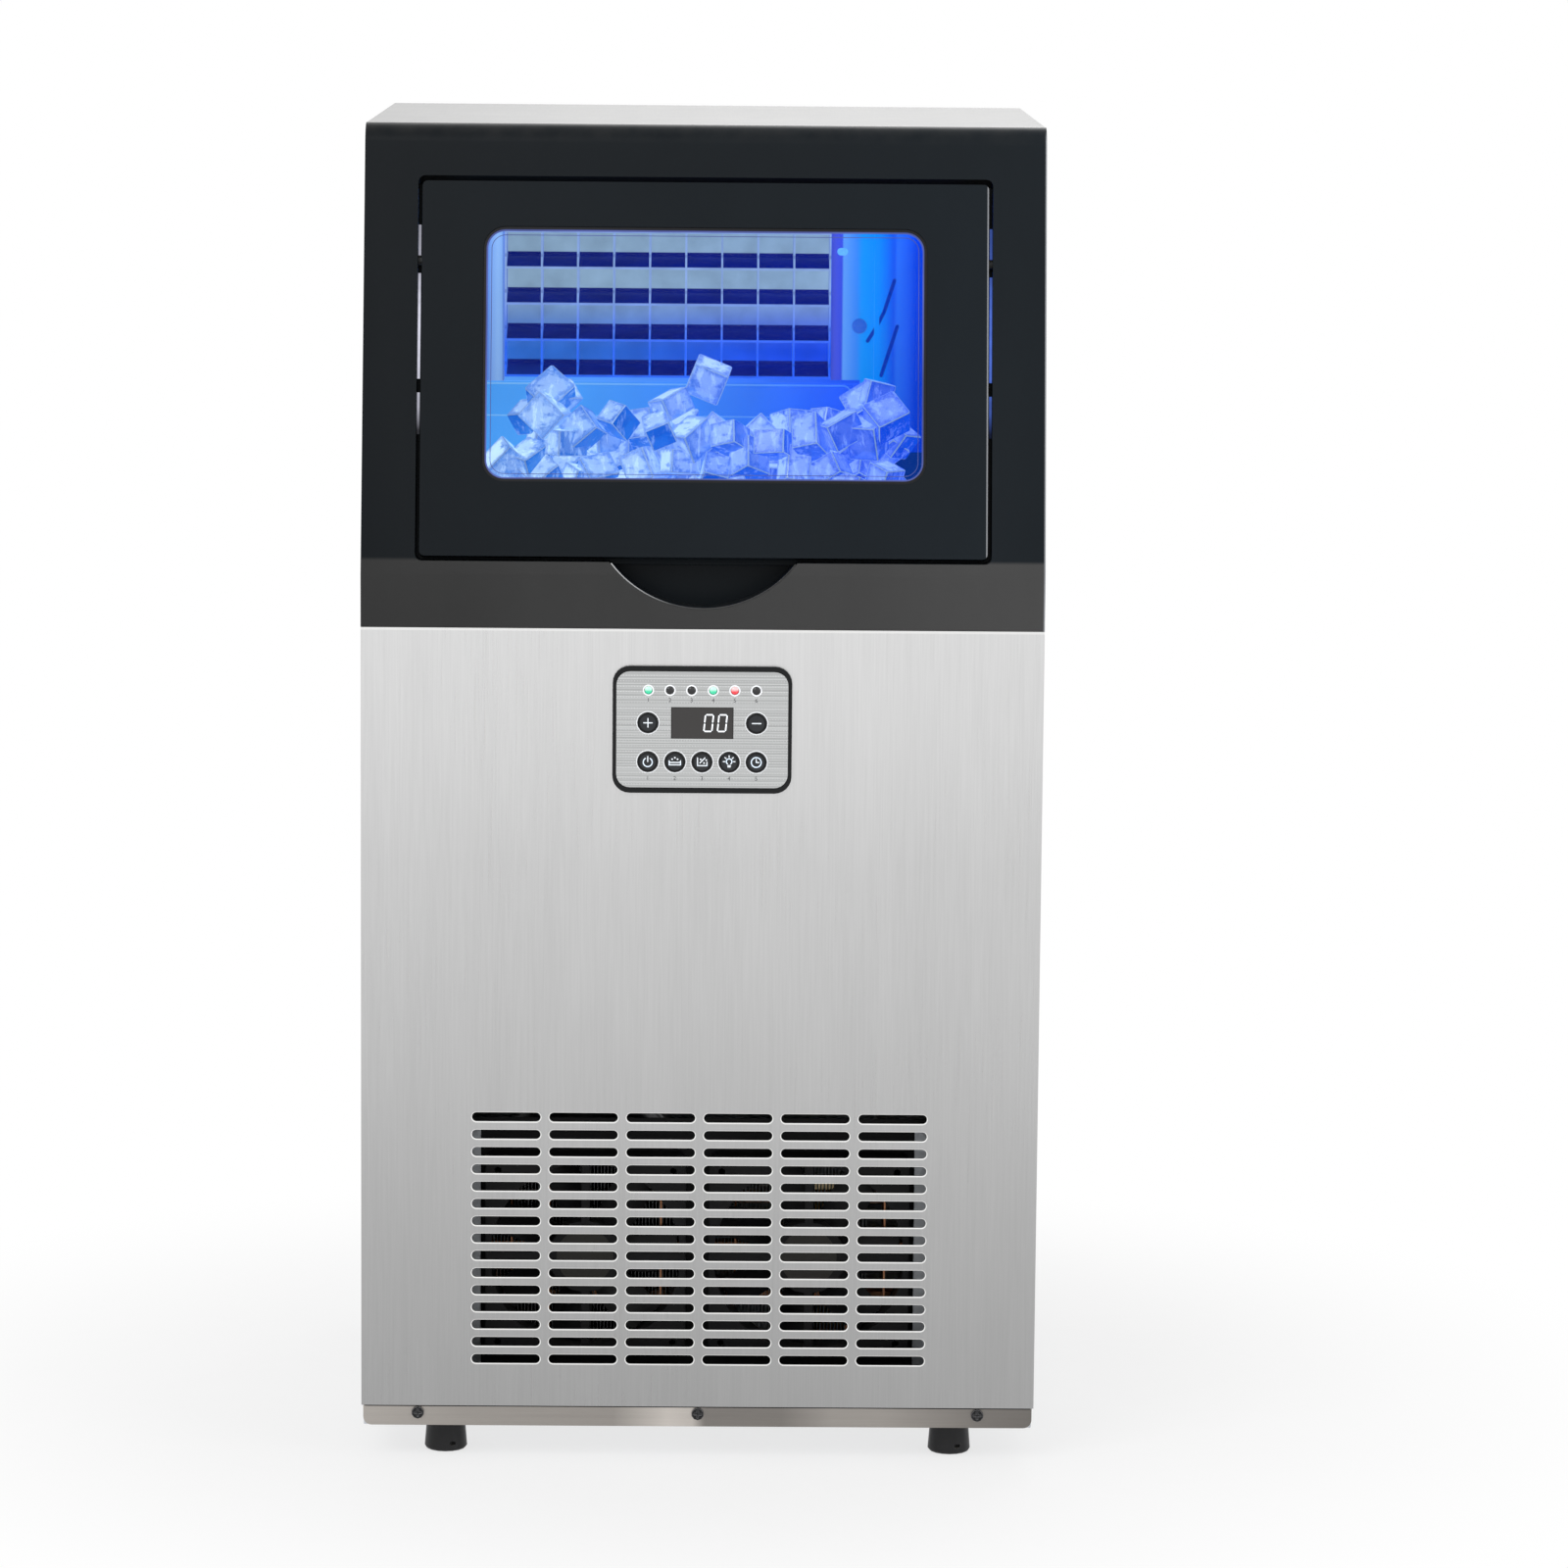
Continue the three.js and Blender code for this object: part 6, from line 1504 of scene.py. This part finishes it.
# Cubes in a row, rows, the first one's place from the middle and behind the bin's front, the bin's floor
HEAP_COLUMNS, HEAP_ROWS, HEAP_LEFT, HEAP_FRONT, BIN_FLOOR = 14, 4, -0.162, 0.02, 0.518
# How far a cube may be out of place in x, y and z, and the layers' share of a cube
HEAP_JITTER, LAYER_SHARE = (0.003, 0.002, 0.004), 0.86
# Half the width that the cubes keep to below a level and above it, where the window's frame is near
WIDE_BELOW, HALF_BELOW, HALF_ABOVE = 0.57, 0.164, 0.126
STRAY_CUBES = ((-20, -92, 622), (2, -88, 637), (-92, -90, 628), (103, -92, 629))


def room_finish(name, corners, strength, rough=0.35, base=0.04, shadow=0, stripes=()):
    """A surface in the bin's blue light, painted on as a glow whose colour drifts between four corners of the
    room, or in stripes.

    The corners are low left, low right, high left and high right. Below a shadow's level it is dimmer, as a
    painted shadow, and it turns dark behind the door's frame, as painted shade."""
    n = Finish(name)
    low_left, low_right, high_left, high_right = corners
    x, z = n.along("X"), n.along("Z")
    high = n.span(z, ROOM_LOW, ROOM_HIGH, smooth=True)
    if stripes:
        light = n.times(n.ramp(x, stripes), n.grey(n.span(high, 0.0, 1.0, 0.75, 1.0)))
    else:
        right = n.span(x, ROOM_LEFT, ROOM_RIGHT, smooth=True)
        light = n.mix(high, n.mix(right, low_left, low_right), n.mix(right, high_left, high_right))
    drift = n.drift(n.noise(n.stretch(n.place(), 18.0, 18.0, 9.0), 1.0, 3.0), 1.0 - STREAK, 1.0 + STREAK)
    light = n.times(light, n.grey(n.span(n.unsigned(x), *DARK_SIDE, 1.0, 0.02)))
    if shadow:
        light = n.times(light, n.grey(n.span(z, shadow, shadow - SHADOW_EDGE, 1.0, SHADOW_SHARE)))
    skin = n.effect("grain", Size=600.0, Marks=0.1)
    return n.end(Emission_Strength=strength, Emission_Color=n.times(light, n.grey(drift)),
                 Specular_IOR_Level=0.15, Base_Color=tuple(base * (0.3 + 0.7 * c) for c in high_left),
                 Roughness=n.math("ADD", rough, skin["Roughness"], clamp=True),
                 Normal=n.bumped(skin["Height"], 0.05 * MM, 0.4))


def even(*colour):
    """One colour for all four corners of the room."""
    return (colour,) * 4


def tray_finish(strength):
    """Plated tray in painted light: pale cell backs that fade to blue low at the right, floors dark with painted
    shade, a painted shadow at the foot of each cell back, and painted highlights on the fin edges.
    """
    n = Finish("Plated tray")
    span = Span("evaporator_tray")
    z = n.along("Z")
    high = n.span(z, span.z0 + 14 * MM, span.z0 + 58 * MM, smooth=True)
    right = n.span(n.along("X"), span.x0 + 20 * MM, span.x1, smooth=True)
    low_back = n.mix(right, (0.03, 0.14, 0.55), (0.012, 0.07, 0.75))
    high_back = n.mix(right, (0.25, 0.37, 0.5), (0.25, 0.38, 0.56))
    floor = n.mix(right, (0.004, 0.01, 0.15), (0.003, 0.01, 0.2))
    side = n.mix(high, (0.02, 0.1, 0.6), (0.12, 0.2, 0.5))
    up = n.span(n.facing("Z", "True Normal"), 0.3, 0.7)
    across = n.span(n.unsigned(n.facing("X", "True Normal")), 0.3, 0.7)
    # Painted shadow: the foot of each cell's back takes the floor's dark colour
    foot = n.math("FRACT", n.math("DIVIDE", n.less(z, span.z0 + 7.3 * MM), TRAY_PITCH))
    back = n.mix(n.span(foot, 0.085, 0.1), floor, n.mix(high, low_back, high_back))
    light = n.mix(up, n.mix(across, back, side), floor)
    # Painted highlight on the front edges of the fins
    edge = n.span(n.along("Y"), span.y0 + 1.2 * MM, span.y0 + 0.5 * MM)
    edge_light = n.mix(high, (0.03, 0.15, 1.0), (0.25, 0.37, 0.75))
    drift = n.drift(n.noise(n.place(), 60.0, 3.0), 0.85, 1.12)
    return n.end(Metallic=0.3, Roughness=0.35, Specular_IOR_Level=0.2, Emission_Strength=strength,
                 Base_Color=n.mix(0.85, (0.02, 0.03, 0.06), n.mix(0.9, light, (0, 0, 0))),
                 Emission_Color=n.times(n.mix(n.by(edge, 0.7), light, edge_light), n.grey(drift)))


def ice_finish(strength):
    """Clear ice glowing with painted light: white cores, bluer towards each cube's edges as painted refraction,
    crossed by frosted veins and darker patches; whiter on faces that look up and to the left, as painted light
    from above left, and deeper blue at the right.
    """
    n = Finish("Clear ice")
    place = n.place()
    a, b, c = (n.unsigned(part) for part in n.split(n.kept("cube_place")["Vector"])[:3])
    # Painted refraction: bluer towards each cube's edges
    second = n.math("MAXIMUM", n.math("MINIMUM", a, b), n.math("MINIMUM", n.math("MAXIMUM", a, b), c))
    wobble = n.drift(n.noise(place, 230.0, 3.0, 0.6), -0.16, 0.16)
    border = n.span(n.plus(second, wobble), 0.56, 0.86, smooth=True)
    # Painted light from above left: faces that look up and to the left are whiter
    lit = n.plus(n.by(n.facing("Z"), 0.7), n.by(n.facing("X"), -0.4))
    lit = n.span(lit, -0.45, 0.75, smooth=True)
    veins = n.span(n.noise(n.stretch(place, 210.0, 210.0, 60.0), 1.0, 4.0, 0.7), 0.53, 0.62)
    dark = n.span(n.noise(n.stretch(place, 90.0, 90.0, 190.0), 1.0, 3.0, 0.6), 0.55, 0.68)
    white = n.plus(n.by(lit, 0.75), n.span(n.kept("own")["Fac"], 0.0, 1.0, -0.15, 0.35))
    white = n.by(white, n.span(border, 0.0, 1.0, 1.0, 0.42))
    white = n.by(white, n.span(dark, 0.0, 1.0, 1.0, 0.35))
    white = n.math("ADD", white, n.by(veins, 0.28), clamp=True)
    # Painted light: the ice is paler at the left and deeper blue at the right
    right = n.span(n.along("X"), -0.12, 0.11, smooth=True)
    deep = n.mix(right, (0.01, 0.12, 0.48), (0.006, 0.06, 0.56))
    pale = n.mix(right, (0.6, 0.8, 1.0), (0.34, 0.5, 1.0))
    light = n.mix(white, deep, pale)
    return n.end(IOR=1.31, Transmission_Weight=0.5, Emission_Strength=strength, Emission_Color=light,
                 Base_Color=n.mix(0.72, light, (0.0, 0.02, 0.06)),
                 Roughness=n.span(border, 0.0, 1.0, 0.14, 0.05),
                 Normal=n.bumped(n.noise(place, 150.0, 3.0), MM, 0.5))


def heap_level(x, y):
    """Top of the heap at a place, lower towards the back where the trough hangs."""
    across = x / MM
    for (x0, z0), (x1, z1) in zip(HEAP, HEAP[1:]):
        if x0 <= across <= x1:
            level = z0 + (z1 - z0) * (across - x0) / (x1 - x0)
            break
    else:
        level = HEAP[0][1]
    return level * MM - max(y - HEAP_BACK, 0) * HEAP_FALL


def clear_of_flap(x, y, z, reach):
    """The level at which a cube keeps out of the flap's swing."""
    flap, tilt, places = Span("ice_flap"), joint("flap_hinge"), 8
    if not flap.x0 - reach < x < flap.x1 + reach:
        return z
    hinge = Vector(tilt["pos_m"][1:])
    length = flap.size.z
    while z > flap.z0 - 2 * reach:
        near = []
        for i in range(places):
            turn = math.radians(tilt["range_deg"][1]) * i / (places - 1)
            along = Vector((-math.sin(turn), -math.cos(turn)))
            part = min(max((Vector((y, z)) - hinge).dot(along), 0), length)
            near.append((hinge + along * part - Vector((y, z))).length)
        if min(near) > reach:
            break
        z -= MM
    return z


def heap_points(settings, front):
    """Middles of the cubes: loose layers under the top of the heap."""
    draw = random.Random(settings.seed)
    side_jitter, depth_jitter, level_jitter = HEAP_JITTER
    pitch = settings.cube * 1.02
    points = []
    for k in range(settings.layers):
        for j in range(HEAP_ROWS):
            for i in range(HEAP_COLUMNS):
                x = HEAP_LEFT + (i + (j + k) % 2 / 2) * pitch + draw.uniform(-side_jitter, side_jitter)
                y = front + HEAP_FRONT + j * pitch + draw.uniform(-depth_jitter, depth_jitter)
                z = heap_level(x, y) - settings.cube / 2 - k * pitch * LAYER_SHARE
                z += draw.uniform(-level_jitter, level_jitter)
                z = clear_of_flap(x, y, z, settings.cube * 0.95 + MM)
                half = HALF_ABOVE if z > WIDE_BELOW else HALF_BELOW
                if z > BIN_FLOOR + settings.cube * 0.75 and abs(x) < half:
                    points.append((x, y, z))
    return points + [(x * MM, y * MM, z * MM) for x, y, z in STRAY_CUBES]


def finish_cover(face):
    """The grooves and the screw of the tray's cover, whose face lies at this depth, and a painted highlight spot
    on it.
    """
    grooves = Sketch()
    for line in COVER_GROOVES:
        grooves.stroke([(x * MM, z * MM) for x, z in line], 2.2 * MM, face - 0.45 * MM, face + 0.3 * MM)
    groove = room_finish("Cover groove", even(0.0, 0.035, 0.5), 0.8)
    finish("cover_grooves", grooves.mesh(), groove, slot="tray_metal", bevel=0.2 * MM)
    x, z = (place * MM for place in COVER_SCREW)
    head = Sketch().turned(x, z, [(radius * MM, face + depth * MM) for radius, depth in SCREW_PROFILE], 32)
    head.ring(x, z, 3.9 * MM, 4.7 * MM, face - 0.3 * MM, face + 0.2 * MM)
    slot_cut = box_mesh(x - 2.6 * MM, x + 2.6 * MM, face - 3 * MM, face - 1.5 * MM, z - 0.35 * MM,
                        z + 0.35 * MM)
    screw = room_finish("Screw in blue light", even(0.01, 0.13, 0.72), 0.7, base=0.3)
    finish("cover_screw", carve(head.mesh(), slot_cut), screw, slot="tray_metal", bevel=0.15 * MM)
    # A painted highlight spot on the cover
    highlight_spot = rounded(*(place * MM for place in COVER_HIGHLIGHT), 2.2 * MM)
    bright = shining("Bright spot", (0.12, 0.5, 0.98), 0.9, base=(0.1, 0.2, 0.3))
    finish("cover_highlight", Sketch().slab(highlight_spot, face - 0.5 * MM, face + 0.2 * MM).mesh(), bright,
           slot="tray_metal")


def finish_flap(flap):
    """A rim along the flap's upper part, made bright with painted light."""
    x0, x1, top, front, back = flap.x0 + MM, flap.x1 - MM, flap.z1, flap.y0, flap.y0 + 3.5 * MM
    right = arc(x1 - 5 * MM, top - 6 * MM, 5 * MM, 90, 0, 8) + [(x1, top - 22 * MM)]
    rim = Sketch().stroke([(x0, top - MM), *right], 0.9 * MM, front + 0.9 * MM, back)
    rim.stroke([(x0, top - 20.5 * MM), (x1 - 4 * MM, top - 20.5 * MM)], 0.9 * MM, front, back)
    light = room_finish("Flap rim", (
        (0.2, 0.5, 0.95), (0.03, 0.16, 0.95), (0.2, 0.5, 0.95), (0.03, 0.18, 0.95)), 0.9)
    finish("flap_rim", rim.mesh(), light, BODY_OF["ice_flap"], slot="tray_metal", bevel=0.15 * MM)


class BuildIceRoom(bpy.types.Operator):
    """Builds the bin's liner, the light, the freezing tray, the trough, the flap and the ice"""

    bl_idname = "ice_maker.ice_room"
    bl_label = "Ice room"

    def execute(self, context):
        settings = context.scene.ice_maker.ice_room
        # The liner, the tray's frame, the trough, the flap, the spreader, the tray and the ice glow with painted
        # blue light; the light strip is the lamp
        liner = room_finish("White liner", even(0.02, 0.12, 0.75), settings.glow, shadow=LINER_SHADOW,
                            stripes=WALL_LIGHT)
        framing = room_finish("Tray frame plastic", even(0.0, 0.2, 0.9), 1.0, rough=0.3,
                              stripes=COVER_LIGHT)
        trough = room_finish("Water trough plastic", (
            (0.12, 0.4, 0.95), (0.004, 0.05, 0.88), (0.05, 0.24, 0.9), (0.005, 0.05, 0.86)), 1.0, rough=0.25)
        flap = room_finish("Flap plastic", ((0.07, 0.34, 0.88), (0.003, 0.04, 0.86), (0.07, 0.34, 0.88),
                                            (0.004, 0.05, 0.88)), 1.0, rough=0.22)
        spreader = room_finish("Spreader tube", (
            (0.1, 0.3, 0.9), (0.05, 0.2, 0.8), (0.2, 0.4, 0.9), (0.1, 0.4, 0.95)), 0.6)
        blue = shining("Blue light", (0.12, 0.35, 1.0), 1.0, base=(0.3, 0.5, 1.0))
        dress("ice_bin", liner, bevel=2 * MM, segments=3)
        dress("light_strip", blue, bevel=MM)
        dress("evaporator_tray", tray_finish(1.0), bevel=0)
        dress("evaporator_coil", steel("Coil tube", (0.72, 0.35, 0.2), along="X"))
        dress("tray_frame", framing, bevel=0.8 * MM, segments=3)
        dress("water_trough", trough, bevel=0.5 * MM)
        dress("ice_flap", flap, bevel=0.5 * MM)
        dress("water_pump", moulded("Pump plastic", (0.05, 0.05, 0.06), rough=0.4))
        dress("water_spreader", spreader)
        finish_cover(Span("tray_frame").y0 + 2.4 * MM)
        finish_flap(Span("ice_flap"))
        points = bpy.data.meshes.new("heap")
        points.from_pydata(heap_points(settings, Span("ice_bin").y0), [], [])
        ice = ice_finish(0.92)
        # Painted highlight on the cubes' rounded edges
        edge = shining("Ice edge", (0.3, 0.48, 0.9), 0.55, rough=0.1, base=(0.1, 0.16, 0.3))
        heap = grow("ice", points, Side=settings.cube, Round=settings.cube * 0.07, Seed=settings.seed,
                    Finish=ice)
        finish("ice_heap", heap, [ice, edge], slot="clear_pane", bevel=0.5 * MM, segments=1, edge_slot=1)
        return {"FINISHED"}


# Panel and order of work


OPERATORS = (BuildStage, BuildCasing, BuildFascia, BuildDoor, BuildControls, BuildAirflow,
             BuildRefrigeration, BuildFittings, BuildIceRoom)


class IceMakerPanel(bpy.types.Panel):
    """Lists the steps that build the ice maker"""

    bl_idname = "VIEW3D_PT_ice_maker"
    bl_label = "Ice maker"
    bl_space_type = "VIEW_3D"
    bl_region_type = "UI"
    bl_category = "Ice maker"

    def draw(self, context):
        for step in OPERATORS:
            self.layout.operator(step.bl_idname)
        settings = context.scene.ice_maker
        for group in (settings.casing, settings.front, settings.ice_room, settings.stage):
            column = self.layout.box().column()
            for name in group.__annotations__:
                column.prop(group, name)


CLASSES = (CasingSettings, FrontSettings, IceRoomSettings, StageSettings, IceMakerSettings,
           *OPERATORS, IceMakerPanel)


def register():
    for item in CLASSES:
        bpy.utils.register_class(item)
    bpy.types.Scene.ice_maker = bpy.props.PointerProperty(type=IceMakerSettings)


def unregister():
    del bpy.types.Scene.ice_maker
    for item in reversed(CLASSES):
        bpy.utils.unregister_class(item)


def main():
    """Builds every step in order."""
    register()
    for step in OPERATORS:
        module, name = step.bl_idname.split(".")
        getattr(getattr(bpy.ops, module), name)()


if __name__ == "__main__":
    main()
